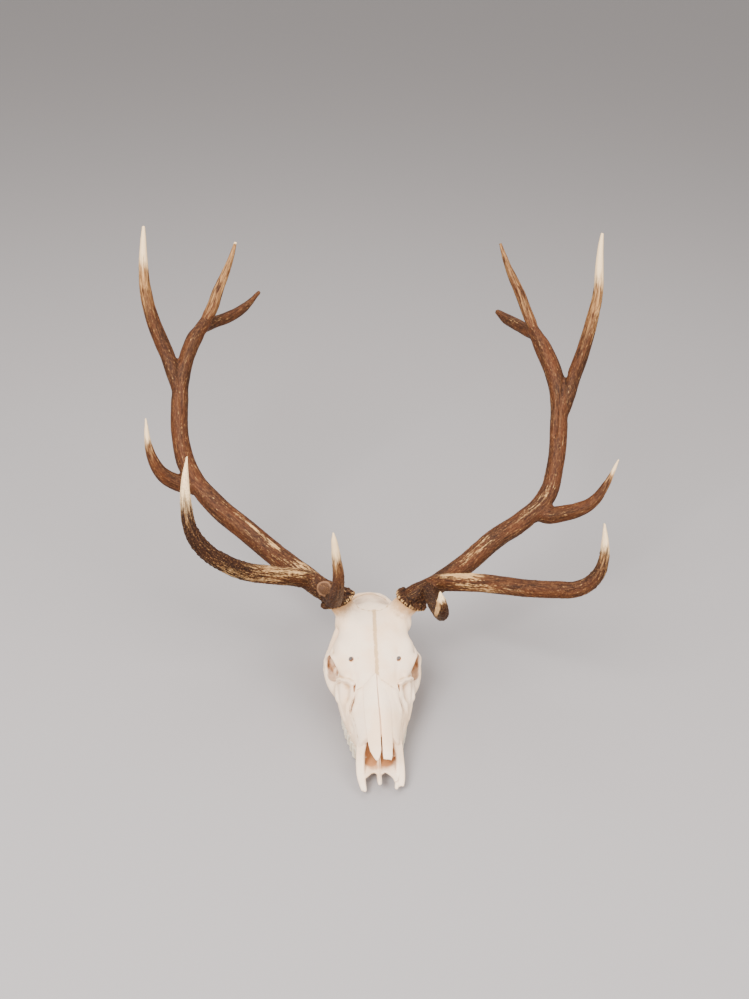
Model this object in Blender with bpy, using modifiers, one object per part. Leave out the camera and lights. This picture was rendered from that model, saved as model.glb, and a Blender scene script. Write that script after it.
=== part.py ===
"""Skull of a bull elk without its lower jaw, with both six-point antlers.

Blender 4.5. Metres, +Z up, nose towards -Y. The skull rests on its cheek teeth and on the
two condyles and processes at the back of its head. Lists of places are in millimetres in the
skull's own frame: X to the viewer's right, Y back from the tip of the snout, Z up from the
plane that the teeth stand on.
"""

import math

import bmesh
import bpy
from mathutils import Matrix, Vector

MM = 0.001
GAP = 0.3                     # air between touching pieces
MIDDLE_GAP = 0.2              # air on each side of the middle line
ORIGIN_X = 11.3               # middle of the whole object across, in the skull's frame
ORIGIN_Y = 482.8              # middle of the whole object front to back

RING_POINTS = 28              # points round a section of the head
SKULL_VOXEL = 3.2
SKULL_FACES = 2100
PREMAXILLA_VOXEL = 1.8
PREMAXILLA_FACES = 320

ORBIT_CENTRE = (72, 246, 92)
ORBIT_AXIS = (0.86, -0.42, 0.28)
ORBIT_RADIUS = 28.6
ORBIT_RIM = 4.2
ORBIT_OPENING = 26.4          # radius of the socket inside its rim
ORBIT_DEPTH = 36.0
ORBIT_SINK = 12.0             # how far the socket's middle lies inward of its rim
HOLE_START = (43.5, 199, 143.2)   # above the round hole over each eye
HOLE_AXIS = (0.0, 0.853, -0.522)
HOLE_RADIUS = 4.8
HOLE_LENGTH = 190.0
TEMPLE = ((72, 312, 96), (14, 25, 24))         # middle and half sizes
FACE_GAP = ((38, 162, 112), (3.2, 24, 16))     # the slit beside each nasal bone
FACE_GAP_TURN = 14.0          # degrees
FORAMEN_RADIUS = 15.5

FLUTES = 4                    # ridges round an antler
FLUTE_DEPTH = 0.08
PEARLS = 14
SPLITS_FROM = {"bez_tine": "brow_tine", "rear_tine": "crown_tine"}   # neighbours that meet low down
BURR_RADIUS = 32.0
BURR_THICKNESS = 13.0
BURR_MIDDLE = 8.5             # along the antler from its foot
STALK_TOP_RADIUS = 21.0
STALK_CUT_RADIUS = 38.0
STALK_CUT_LENGTH = 60.0

# Sections of the face and braincase: y, lowest z, highest z, half width low, midway and high, squareness
HEAD_SECTIONS = [
    (76, 22, 82, 34, 37, 23, 3.0),
    (90, 21, 88, 37, 40, 25, 3.0),
    (112, 17, 97, 44, 46, 26, 3.2),
    (140, 15, 107, 51, 54, 29, 3.2),
    (168, 14, 117, 57, 63, 36, 3.2),
    (196, 14, 126, 60, 69, 48, 3.2),
    (222, 16, 134, 58, 69, 62, 3.0),
    (246, 26, 142, 44, 60, 75, 3.0),
    (268, 44, 150, 30, 46, 75, 2.9),
    (290, 50, 158, 26, 42, 67, 2.9),
    (312, 48, 166, 34, 46, 66, 2.7),
    (336, 44, 169, 44, 52, 62, 2.3),
    (360, 41, 158, 50, 54, 48, 2.1),
    (392, 39, 147, 50, 52, 40, 2.1),
    (418, 37, 136, 46, 46, 32, 2.2),
    (434, 42, 117, 36, 34, 20, 2.3),
]
NASAL_CAVITY = [
    (60, 10, 69, 25, 25, 20, 2.4),
    (84, 24, 78, 27, 29, 21, 2.4),
    (100, 32, 84, 25, 27, 20, 2.4),
    (140, 36, 97, 26, 27, 20, 2.4),
    (176, 40, 104, 24, 24, 16, 2.2),
    (200, 46, 92, 12, 12, 8, 2.0),
]
SKULL_BASE = [
    (300, 38, 62, 16, 19, 20, 2.4),
    (340, 36, 60, 18, 22, 26, 2.4),
    (385, 32, 60, 22, 28, 34, 2.4),
    (425, 26, 60, 22, 28, 32, 2.4),
]
# One nasal bone: y, inner x, outer x, top z on the midline, how far its outer edge drops
NASAL_LEFT = [
    (31, 4.4, 9.0, 65.0, 1.0),
    (38, 1.6, 13.0, 68.5, 2.0),
    (48, -0.9, 17.5, 73, 4.0),
    (70, -0.9, 21.0, 82, 6.5),
    (105, -0.6, 23.0, 96.5, 8.5),
    (145, 0.2, 24.5, 111, 9.0),
    (168, 0.2, 23.5, 118, 8.0),
    (187, 0.2, 3.0, 124, 0.5),
]
NASAL_RIGHT = [
    (34, 4.2, 18.6, 66.0, 3.5),
    (42, 3.1, 20.6, 70, 4.5),
    (70, 3.1, 22.5, 82, 7.0),
    (105, 2.2, 23.5, 96.5, 8.5),
    (145, 0.2, 24.5, 111, 9.0),
    (168, 0.2, 23.5, 118, 8.0),
    (187, 0.2, 3.0, 124, 0.5),
]
NASAL_THICKNESS = 4.5

# Tubes of bone, right side: points with a radius each
CHEEK_ARCH = [(62, 205, 58, 10), (73, 228, 62, 11), (82, 258, 64, 9), (83, 290, 66, 7.4), (76, 325, 68, 6.8),
              (65, 358, 74, 7.8), (52, 388, 82, 10)]
EYE_BAR = [(81, 264, 106, 6), (86, 273, 88, 6), (85, 273, 66, 6.4)]
BROW_RIDGE = [(50, 203, 108, 9), (62, 222, 111, 8.5), (71, 240, 116, 7.4), (76, 258, 111, 6.8),
              (66, 280, 119, 7.8), (55, 298, 136, 10.5), (52, 316, 144, 16)]
NUCHAL_CREST = [(0, 428, 124, 6), (26, 428, 118, 6), (44, 424, 103, 6), (56, 416, 84, 7), (60, 406, 66, 6)]
# The antler stalks: points with a radius each, the left one closer to the middle
HORN_STALKS = {"left": [(43, 318, 140, 26), (47, 333, 152, 23)],
               "right": [(47, 318, 140, 27), (51, 332, 153, 25)]}
SIDE_PROCESS = [(44, 404, 58, 9), (45, 410, 38, 7.5), (42, 414, 18, 6), (39, 415, 5, 5)]
PTERYGOID = [(20, 258, 34, 5), (19, 285, 30, 4.5), (18, 312, 34, 4.5), (17, 335, 46, 5)]
BAND_SHARES = (0.0, 0.33, 0.67, 1.0)   # where a band's tubes lie between its two edges
BAND_TIP_ARCH = 3.5           # how much further back the middle of a band's tip starts
# The bar up each side of the nose as a band between two lines: x, y, z and radius, away from the middle
PREMAXILLA_BANDS = {
    "left": ([(31.5, 14.5, 13.5, 2.6), (34.2, 25, 17, 3.4), (36.3, 36, 21, 3.8), (37, 52, 28, 4.0),
              (36.5, 70, 41, 4.0), (35, 86, 54, 3.8), (31, 104, 70, 3.2)],
             [(27.6, 12.8, 14, 3.4), (28.6, 24, 18.5, 3.4), (29.3, 36, 24, 3.5), (29.8, 52, 33, 3.6),
              (29, 66, 45, 3.6), (25.5, 78, 57, 3.4), (24, 94, 70, 3.0)]),
    "right": ([(38.2, 21, 15.5, 2.4), (39.0, 30, 19, 3.4), (39.6, 42, 23, 3.8), (39.6, 56, 30, 4.0),
               (38.6, 72, 42, 4.0), (36, 88, 56, 3.8), (31, 104, 71, 3.2)],
              [(27.2, 17.2, 14, 3.4), (28.6, 27, 18.5, 3.5), (30.5, 38, 24, 3.5), (31.6, 52, 33, 3.6),
               (31, 66, 45, 3.6), (27, 77, 56, 3.4), (24.5, 94, 70, 3.0)]),
}
# Outline of each one's share of the palate, seen from above: x away from the middle, and y
PREMAXILLA_PLATE = {
    "left": [(0, 104), (0, 41), (5.6, 41.5), (9.5, 44.5), (14, 43), (19, 38), (24.5, 32.5), (27, 30),
             (33, 40), (34, 72), (31, 104)],
    "right": [(0, 104), (0, 41), (5.4, 41), (8.8, 45), (13, 42), (18, 36.5), (21.5, 31), (24, 21), (30, 24),
              (35, 46), (36, 72), (31, 104)],
}
PLATE_FRONT = 42              # how far back the arches in its front edge begin
PLATE_HEIGHT = 24.0           # middle of the plate there
PLATE_RISE = 0.03
PLATE_THICKNESS = 4.6
# The middle prong and the ridge that it runs up into, shared by both
PRONG = [(-1.4, 22.4, 19.8, 3.5), (-1.4, 30, 20.6, 4.1), (-1.3, 44, 22.5, 4.2), (-0.9, 58, 29, 3.6),
         (-0.4, 74, 37, 2.8), (0, 98, 42, 2.6)]
# Round hollows on the middle line: name, middle and half sizes
SKULL_HOLLOWS = [
    ("throat", (0, 290, 30), (14, 46, 24)),
    ("palate", (0, 155, 9), (34, 84, 16)),
    ("foramen", (0, 420, 46), (FORAMEN_RADIUS, 46, FORAMEN_RADIUS)),
    ("braincase", (0, 374, 96), (38, 50, 38)),
]
# Rounded lumps of bone, right side: middle and half sizes
SKULL_LUMPS = [
    ((22, 431, 19), (13, 15, 19)),     # condyle
    ((27, 424, 38), (14, 16, 16)),     # over the condyle
    ((34, 386, 36), (11, 17, 14)),     # ear capsule
    ((66, 218, 66), (9, 36, 13)),      # cheek
    ((52, 268, 127), (23, 30, 15)),    # roof of the orbit
    ((54, 392, 76), (12, 20, 14)),     # root of the cheek arch
    ((66, 271, 52), (16, 20, 15)),     # wall below and behind the orbit
    ((75, 284, 80), (9, 9, 20)),       # bar behind the orbit
]
BRAINCASE_LUMP = ((0, 370, 98), (52, 66, 50))

# Cheek teeth of one side: name, middle y, middle x, length, width
TEETH = [
    ("premolar_2", 107.0, 38.5, 14.5, 13.0),
    ("premolar_3", 123.0, 41.0, 15.5, 15.5),
    ("premolar_4", 139.0, 44.0, 14.5, 17.5),
    ("molar_1", 158.0, 47.5, 21.5, 19.0),
    ("molar_2", 182.5, 50.5, 25.0, 20.0),
    ("molar_3", 208.5, 52.0, 25.0, 19.0),
]
TOOTH_SPLAY = 7.0             # degrees that each row turns out towards the back
CROWN_HEIGHT = 18.0
ROOT_DEPTH = 9.0

# Antlers: x, y, z and radius along each branch. The first point lies inside the piece it grows from.
LEFT_BRANCHES = {
    "antler_beam": [(-61.5, 345.5, 168.6, 21.5), (-66.4, 347.7, 180, 21.5), (-90, 356, 189.5, 21.5),
                    (-118, 387, 192, 22), (-178, 453, 201, 22),
                    (-239, 500, 230, 22), (-300, 548, 260, 21.5), (-348, 592, 303, 19.5),
                    (-369, 636, 359, 17.5), (-371, 676, 415, 18), (-367, 708, 460, 18),
                    (-357, 734, 489, 16), (-343, 768, 515, 16.5), (-325, 799, 534, 15)],
    "brow_tine": [(-86, 362, 184, 13), (-80.5, 336, 190, 14.3), (-75, 295, 208, 14.5),
                  (-72, 240, 268, 12.8),
                  (-72, 203, 331, 11.2), (-77, 194, 373, 8.2), (-81, 194, 405, 5.2), (-83, 196, 421, 1.6)],
    "bez_tine": [(-93, 380, 184, 16.5), (-135, 363, 211, 18), (-187, 331, 241, 17.5), (-233, 305, 267, 17),
                 (-268, 287, 297, 16.2), (-304, 277, 335, 15), (-325, 279, 374, 13), (-332, 292, 417, 10.2),
                 (-333, 309, 452, 7.2), (-330, 334, 488, 1.8)],
    "trez_tine": [(-341, 576, 283, 16.5), (-370, 571, 295, 17.5), (-393, 564, 312, 15.2),
                  (-410, 561, 337, 12), (-423, 567, 375, 8.4), (-428, 587, 430, 1.8)],
    "royal_tine": [(-375, 694, 440, 15), (-383, 708, 470, 16), (-394, 722, 498, 14.8), (-405, 732, 523, 14.8),
                   (-422, 747, 567, 13.2), (-433, 763, 613, 12), (-437, 781, 660, 9.4), (-436, 798, 702, 6.2),
                   (-435, 812, 732, 3.2)],
    "crown_tine": [(-334, 790, 524, 13), (-309, 825, 558, 12.4), (-298, 847, 585, 11.4),
                   (-281, 870, 619, 8.8), (-269, 887, 648, 6.4), (-261.5, 899, 672, 3)],
    "rear_tine": [(-334, 791, 525, 13), (-307, 835, 522, 12.6), (-281, 866, 520, 12.2),
                  (-248, 905, 526, 10.2), (-216, 952.5, 543, 4.2)],
}
RIGHT_BRANCHES = {
    "antler_beam": [(71, 344, 166, 21), (76.5, 345.3, 177, 21), (96.5, 352, 187, 21),
                    (120.5, 365, 191, 20.5), (179, 405, 208, 20.5),
                    (242, 446, 241, 20), (302, 479, 265, 19.5), (349, 510, 298, 19), (369, 548, 345, 17.5),
                    (378, 593, 405, 18), (380, 632, 458, 19), (372, 660, 490, 18), (357, 699, 522, 17.5),
                    (341, 737, 547, 15.5)],
    "brow_tine": [(100, 357, 190, 13), (106, 318, 204, 14), (108, 272, 218, 13.5), (106, 219, 243, 13),
                  (104, 172, 270, 13.3), (101, 141, 298, 12.5), (97, 127, 326, 9), (93, 128, 347, 1.8)],
    "bez_tine": [(113, 361, 200, 16.5), (147, 334, 220, 17.5), (190, 302, 240, 17.5), (232, 269, 257, 17),
                 (273, 240, 271, 16.5), (313, 214, 287, 15.8), (348, 196, 303, 14.8), (372, 193, 328, 12.5),
                 (383, 199, 358, 9.5), (385, 212, 386, 6.8), (385, 233, 414, 1.8)],
    "trez_tine": [(322, 494, 269, 14.5), (352, 483, 272, 18), (378, 469, 285, 16.5), (401, 456, 301, 14.5),
                  (425, 449, 323, 11.5), (447, 453, 360, 7.6), (468, 467, 407, 1.8)],
    "royal_tine": [(388, 612, 430, 14), (397, 630, 462, 15.5), (407, 644, 494, 14.6), (416, 651, 522, 14.4),
                   (424, 658, 550, 13.4), (436, 673, 599, 12.2), (445, 690, 652, 9.8), (446, 710, 702, 7.8),
                   (447, 723, 735, 5.4), (449, 732, 758, 3)],
    "crown_tine": [(345, 730, 541, 13), (328, 770, 576, 11.6), (315, 797, 606, 11), (300, 819, 634, 9.4),
                   (286, 839, 664, 6.6), (275.5, 856, 692, 3)],
    "rear_tine": [(345, 730, 542, 13), (331, 776, 536, 13), (319, 809, 533, 13.2), (303, 845, 531, 11.8),
                  (287, 881, 533, 5.5)],
}

BONE = (0.86, 0.80, 0.70)
NASAL_BONE = (0.88, 0.83, 0.74)
ENAMEL = (0.80, 0.74, 0.62)
ANTLER_BROWN = (0.19, 0.10, 0.05)
TINE_BROWN = (0.24, 0.14, 0.07)


def scene_point(point):
    """A place in the skull's frame, in millimetres, as a place in the scene, in metres."""
    return Vector(((point[0] - ORIGIN_X) * MM, (point[1] - ORIGIN_Y) * MM, point[2] * MM))


def mirrored(points, side):
    """The right side's points as they lie on the side asked for."""
    return [(p[0] * side,) + tuple(p[1:]) for p in points]


def material(name, colour, roughness):
    """A plain Principled material."""
    made = bpy.data.materials.new(name)
    made.use_nodes = True
    shader = made.node_tree.nodes["Principled BSDF"]
    shader.inputs["Base Color"].default_value = (*colour, 1.0)
    shader.inputs["Roughness"].default_value = roughness
    shader.inputs["Metallic"].default_value = 0.0
    return made


def new_object(name, mesh, collection):
    """A mesh as an object of one collection."""
    made = bpy.data.objects.new(name, mesh)
    collection.objects.link(made)
    return made


def mesh_from(bm, name):
    """A mesh of what a bmesh holds, with its faces pointing out."""
    bmesh.ops.recalc_face_normals(bm, faces=bm.faces)
    made = bpy.data.meshes.new(name)
    bm.to_mesh(made)
    bm.free()
    return made


def bridged(rings, bm):
    """Faces between rings of equally many points, with both ends closed."""
    loops = [[bm.verts.new(point) for point in ring] for ring in rings]
    count = len(loops[0])
    for lower, upper in zip(loops, loops[1:]):
        for i in range(count):
            j = (i + 1) % count
            bm.faces.new((lower[i], lower[j], upper[j], upper[i]))
    bm.faces.new(loops[0][::-1])
    bm.faces.new(loops[-1])


def head_ring(section):
    """One rounded section across the head."""
    y, low, high, half_low, half_mid, half_high, squareness = section
    middle = (low + high) / 2
    reach = (high - low) / 2
    ring = []
    for i in range(RING_POINTS):
        angle = 2 * math.pi * (i + 0.5) / RING_POINTS
        across = math.copysign(abs(math.cos(angle)) ** (2 / squareness), math.cos(angle))
        up = math.copysign(abs(math.sin(angle)) ** (2 / squareness), math.sin(angle))
        bulge = half_mid - (half_low + half_high) / 2
        half = half_low + (half_high - half_low) * (up + 1) / 2 + bulge * (1 - up * up)
        ring.append(scene_point((across * half, y, middle + up * reach)))
    return ring


def add_loft(bm, sections):
    """A body of head sections, added to a bmesh."""
    bridged([head_ring(section) for section in sections], bm)


def add_ellipsoid(bm, centre, radii, turn=None, segments=20):
    """An ellipsoid, added to a bmesh."""
    place = Matrix.Translation(scene_point(centre))
    if turn is not None:
        place = place @ turn
    sizes = Matrix.Diagonal((radii[0] * MM, radii[1] * MM, radii[2] * MM, 1.0))
    bmesh.ops.create_uvsphere(bm, u_segments=segments, v_segments=segments // 2, radius=1.0,
                              matrix=place @ sizes)


def axis_turn(axis):
    """The rotation that lays Z along an axis."""
    return Vector(axis).to_track_quat("Z", "Y").to_matrix().to_4x4()


def add_cylinder(bm, start, axis, radius, length, segments):
    """A round bar from a place along an axis, added to a bmesh."""
    way = Vector(axis).normalized()
    middle = scene_point(start) + way * (length / 2 * MM)
    bmesh.ops.create_cone(bm, cap_ends=True, segments=segments, radius1=radius * MM, radius2=radius * MM,
                          depth=length * MM, matrix=Matrix.Translation(middle) @ axis_turn(axis))


def curve_mesh(name, points, profile=None, steps=4):
    """A tapered tube through points of x, y, z and radius, round or with an outline of its own."""
    curve = bpy.data.curves.new(name, "CURVE")
    curve.dimensions = "3D"
    curve.resolution_u = steps
    curve.use_fill_caps = True
    if profile is None:
        curve.bevel_depth = MM
        curve.bevel_resolution = 3
    else:
        curve.bevel_mode = "OBJECT"
        curve.bevel_object = profile
    spline = curve.splines.new("BEZIER")
    spline.bezier_points.add(len(points) - 1)
    for knot, point in zip(spline.bezier_points, points):
        knot.co = scene_point(point)
        knot.radius = point[3]
        knot.handle_left_type = "AUTO"
        knot.handle_right_type = "AUTO"
    holder = bpy.data.objects.new(name, curve)
    bpy.context.scene.collection.objects.link(holder)
    graph = bpy.context.evaluated_depsgraph_get()
    made = bpy.data.meshes.new_from_object(holder.evaluated_get(graph))
    bpy.data.objects.remove(holder)
    bpy.data.curves.remove(curve)
    bm = bmesh.new()
    bm.from_mesh(made)
    bmesh.ops.remove_doubles(bm, verts=bm.verts, dist=0.00001)
    bpy.data.meshes.remove(made)
    return mesh_from(bm, name)


def add_mesh(bm, mesh):
    """A mesh, added to a bmesh and removed."""
    bm.from_mesh(mesh)
    bpy.data.meshes.remove(mesh)


def add_tube(bm, points):
    """A round tube with rounded ends, added to a bmesh."""
    add_mesh(bm, curve_mesh("tube", points))
    for end in (points[0], points[-1]):
        add_ellipsoid(bm, end[:3], (end[3],) * 3, segments=12)


def fluted_profile(collection):
    """The ridged outline that an antler has across, one millimetre in radius."""
    curve = bpy.data.curves.new("antler_outline", "CURVE")
    curve.dimensions = "2D"
    spline = curve.splines.new("POLY")
    count = FLUTES * 2
    spline.points.add(count - 1)
    for i, point in enumerate(spline.points):
        angle = 2 * math.pi * i / count
        radius = MM * (1.0 + (FLUTE_DEPTH if i % 2 else -FLUTE_DEPTH))
        point.co = (radius * math.cos(angle), radius * math.sin(angle), 0.0, 1.0)
    spline.use_cyclic_u = True
    made = bpy.data.objects.new("antler_outline", curve)
    made.hide_render = True
    made.display_type = "WIRE"
    collection.objects.link(made)
    return made


def apply_modifiers(obj):
    """The object with its modifiers made part of its mesh."""
    graph = bpy.context.evaluated_depsgraph_get()
    graph.update()
    made = bpy.data.meshes.new_from_object(obj.evaluated_get(graph))
    old = obj.data
    obj.modifiers.clear()
    obj.data = made
    bpy.data.meshes.remove(old)


def boolean(obj, cutter, operation="DIFFERENCE", solver="EXACT"):
    """One Boolean, made part of the mesh."""
    step = obj.modifiers.new("boolean", "BOOLEAN")
    step.operation = operation
    step.solver = solver
    step.object = cutter
    apply_modifiers(obj)


def fused(obj, voxel, rounds):
    """Overlapping bodies grown into one smoothed skin."""
    remesh = obj.modifiers.new("remesh", "REMESH")
    remesh.mode = "VOXEL"
    remesh.voxel_size = voxel * MM
    smooth = obj.modifiers.new("smooth", "SMOOTH")
    smooth.factor = 0.5
    smooth.iterations = rounds
    apply_modifiers(obj)


def thinned(obj, faces):
    """The same skin in about so many triangles."""
    thin = obj.modifiers.new("thin", "DECIMATE")
    thin.use_symmetry = False
    triangles = sum(len(face.vertices) - 2 for face in obj.data.polygons)
    thin.ratio = min(1.0, faces / triangles)
    apply_modifiers(obj)


def inflated(obj, distance, collection, name):
    """A cutter of an object's shape, grown by a distance."""
    bm = bmesh.new()
    bm.from_mesh(obj.data)
    bm.normal_update()
    moves = [vert.normal * (distance * MM * min(vert.calc_shell_factor(), 2.0)) for vert in bm.verts]
    for vert, move in zip(bm.verts, moves):
        vert.co += move
    made = new_object(name, mesh_from(bm, name), collection)
    made.hide_render = True
    made.display_type = "WIRE"
    return made


def cutter_object(bm, name, collection):
    """A cutter from a bmesh."""
    made = new_object(name, mesh_from(bm, name), collection)
    made.hide_render = True
    made.display_type = "WIRE"
    return made


def skull_body(parts):
    """Face, braincase, arches, eye rims, stalks and the back of the head as one skin."""
    bm = bmesh.new()
    add_loft(bm, HEAD_SECTIONS)
    add_ellipsoid(bm, *BRAINCASE_LUMP)
    for side in (-1, 1):
        for tube in (CHEEK_ARCH, EYE_BAR, BROW_RIDGE, NUCHAL_CREST, SIDE_PROCESS, PTERYGOID):
            add_tube(bm, mirrored(tube, side))
        branches = LEFT_BRANCHES if side < 0 else RIGHT_BRANCHES
        burr_place = branches["antler_beam"][0][:3]
        stalk = HORN_STALKS["left" if side < 0 else "right"]
        add_tube(bm, mirrored(stalk, side) + [(*burr_place, STALK_TOP_RADIUS)])
        centre = (ORBIT_CENTRE[0] * side, ORBIT_CENTRE[1], ORBIT_CENTRE[2])
        axis = Vector((ORBIT_AXIS[0] * side, ORBIT_AXIS[1], ORBIT_AXIS[2]))
        rim = []
        across = axis.orthogonal().normalized()
        for i in range(13):
            angle = 2 * math.pi * i / 12
            spoke = Matrix.Rotation(angle, 3, axis) @ across
            rim.append((*(Vector(centre) + spoke * ORBIT_RADIUS), ORBIT_RIM))
        add_tube(bm, rim)
        for middle, sizes in SKULL_LUMPS:
            add_ellipsoid(bm, (middle[0] * side, middle[1], middle[2]), sizes)
    add_loft(bm, SKULL_BASE)
    skull = new_object("skull", mesh_from(bm, "skull"), parts)
    fused(skull, SKULL_VOXEL, 4)
    return skull


def skull_openings(skull, cutters):
    """Eye sockets, nose, throat, braincase, temples and the smaller holes, cut one after another."""
    for side in (-1, 1):
        axis = Vector((ORBIT_AXIS[0] * side, ORBIT_AXIS[1], ORBIT_AXIS[2]))
        rim_middle = Vector((ORBIT_CENTRE[0] * side, ORBIT_CENTRE[1], ORBIT_CENTRE[2]))
        centre = rim_middle - axis.normalized() * ORBIT_SINK
        bm = bmesh.new()
        add_ellipsoid(bm, centre, (ORBIT_OPENING, ORBIT_OPENING, ORBIT_DEPTH), axis_turn(axis), 16)
        boolean(skull, cutter_object(bm, "orbit", cutters))
        bm = bmesh.new()
        middle, sizes = TEMPLE
        add_ellipsoid(bm, (middle[0] * side, middle[1], middle[2]), sizes, segments=12)
        boolean(skull, cutter_object(bm, "temple", cutters))
        bm = bmesh.new()
        middle, sizes = FACE_GAP
        turn = Matrix.Rotation(math.radians(-FACE_GAP_TURN * side), 4, "Z")
        add_ellipsoid(bm, (middle[0] * side, middle[1], middle[2]), sizes, turn, 10)
        boolean(skull, cutter_object(bm, "face_gap", cutters))
    bm = bmesh.new()
    add_loft(bm, NASAL_CAVITY)
    boolean(skull, cutter_object(bm, "nose", cutters))
    for name, centre, sizes in SKULL_HOLLOWS:
        bm = bmesh.new()
        add_ellipsoid(bm, centre, sizes, segments=14)
        boolean(skull, cutter_object(bm, name, cutters))
    fused(skull, SKULL_VOXEL, 1)
    thinned(skull, SKULL_FACES)
    for side in (-1, 1):
        bm = bmesh.new()
        place = (HOLE_START[0] * side, HOLE_START[1], HOLE_START[2])
        add_cylinder(bm, place, HOLE_AXIS, HOLE_RADIUS, HOLE_LENGTH, segments=10)
        boolean(skull, cutter_object(bm, "brow_hole", cutters))


def nasal(name, stations, side, parts):
    """One nasal bone: a long arched plate."""
    rings = []
    for y, inner, outer, top, drop in stations:
        ring = []
        for t in (0.0, 0.35, 0.7, 1.0):
            x = inner + (outer - inner) * t
            ring.append(scene_point((x * side, y, top - drop * t * t)))
        for t in (1.0, 0.7, 0.35, 0.0):
            x = inner + (outer - inner) * t
            ring.append(scene_point((x * side, y, top - drop * t * t - NASAL_THICKNESS)))
        rings.append(ring)
    bm = bmesh.new()
    bridged(rings, bm)
    return new_object(name, mesh_from(bm, name), parts)


def add_plate(bm, outline):
    """A flat plate of an outline seen from above, added to a bmesh."""
    corners = []
    for x, y in outline:
        height = PLATE_HEIGHT + PLATE_RISE * (y - PLATE_FRONT) - PLATE_THICKNESS / 2
        corners.append(bm.verts.new(scene_point((x, y, height))))
    face = bm.faces.new(corners)
    raised = bmesh.ops.extrude_face_region(bm, geom=[face])["geom"]
    verts = [item for item in raised if isinstance(item, bmesh.types.BMVert)]
    bmesh.ops.translate(bm, vec=(0, 0, PLATE_THICKNESS * MM), verts=verts)


def premaxilla(name, side, parts):
    """One premaxilla: a band up the side of the nose, its share of the palate and half the middle prong."""
    side_name = "left" if side < 0 else "right"
    outer, inner = PREMAXILLA_BANDS[side_name]
    bm = bmesh.new()
    for share in BAND_SHARES:
        line = [[a + (b - a) * share for a, b in zip(*pair)] for pair in zip(outer, inner)]
        line[0][1] += BAND_TIP_ARCH * math.sin(math.pi * share)
        add_tube(bm, mirrored(line, side))
    add_tube(bm, PRONG)
    add_plate(bm, mirrored(PREMAXILLA_PLATE[side_name], side))
    made = new_object(name, mesh_from(bm, name), parts)
    fused(made, PREMAXILLA_VOXEL, 2)
    thinned(made, PREMAXILLA_FACES)
    bm = bmesh.new()
    bm.from_mesh(made.data)
    cut = bmesh.ops.bisect_plane(bm, geom=bm.verts[:] + bm.edges[:] + bm.faces[:],
                                 plane_co=scene_point((MIDDLE_GAP * side, 0, 0)),
                                 plane_no=(-side, 0, 0), clear_outer=True)
    rim = [item for item in cut["geom_cut"] if isinstance(item, bmesh.types.BMEdge)]
    bmesh.ops.holes_fill(bm, edges=rim)
    bmesh.ops.triangulate(bm, faces=bm.faces)
    old = made.data
    made.data = mesh_from(bm, name)
    bpy.data.meshes.remove(old)
    return made


def tooth(name, y, x, length, width, side, parts):
    """A cheek tooth with one lobe, or two on a molar, cusps down and worn flat at the tips."""
    lobes = 2 if name.startswith("molar") else 1
    rings = []
    steps = 3 * lobes
    for i in range(steps + 1):
        t = i / steps
        cusp = abs(math.sin(math.pi * t * lobes))
        swell = 0.74 + 0.26 * cusp
        along = (t - 0.5) * length * 0.98
        half = width / 2 * swell
        low = 3.6 * (1 - min(1.0, cusp * 1.16))
        rings.append([(-half * 0.92, along, CROWN_HEIGHT + ROOT_DEPTH), (-half, along, CROWN_HEIGHT * 0.5),
                      (-half * 0.86, along, low), (-half * 0.5, along, low), (half * 0.1, along, low + 3.6),
                      (half * 0.8, along, low + 1.2), (half, along, CROWN_HEIGHT * 0.5),
                      (half * 0.92, along, CROWN_HEIGHT + ROOT_DEPTH)])
    bm = bmesh.new()
    bridged(rings, bm)
    turn = Matrix.Rotation(math.radians(-TOOTH_SPLAY * side), 4, "Z")
    flip = Matrix.Diagonal((-side, 1, 1, 1))
    bmesh.ops.scale(bm, vec=(MM, MM, MM), verts=bm.verts)
    bmesh.ops.transform(bm, matrix=turn @ flip, verts=bm.verts)
    bmesh.ops.translate(bm, vec=scene_point((x * side, y, 0)), verts=bm.verts)
    return new_object(name, mesh_from(bm, name), parts)


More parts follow.
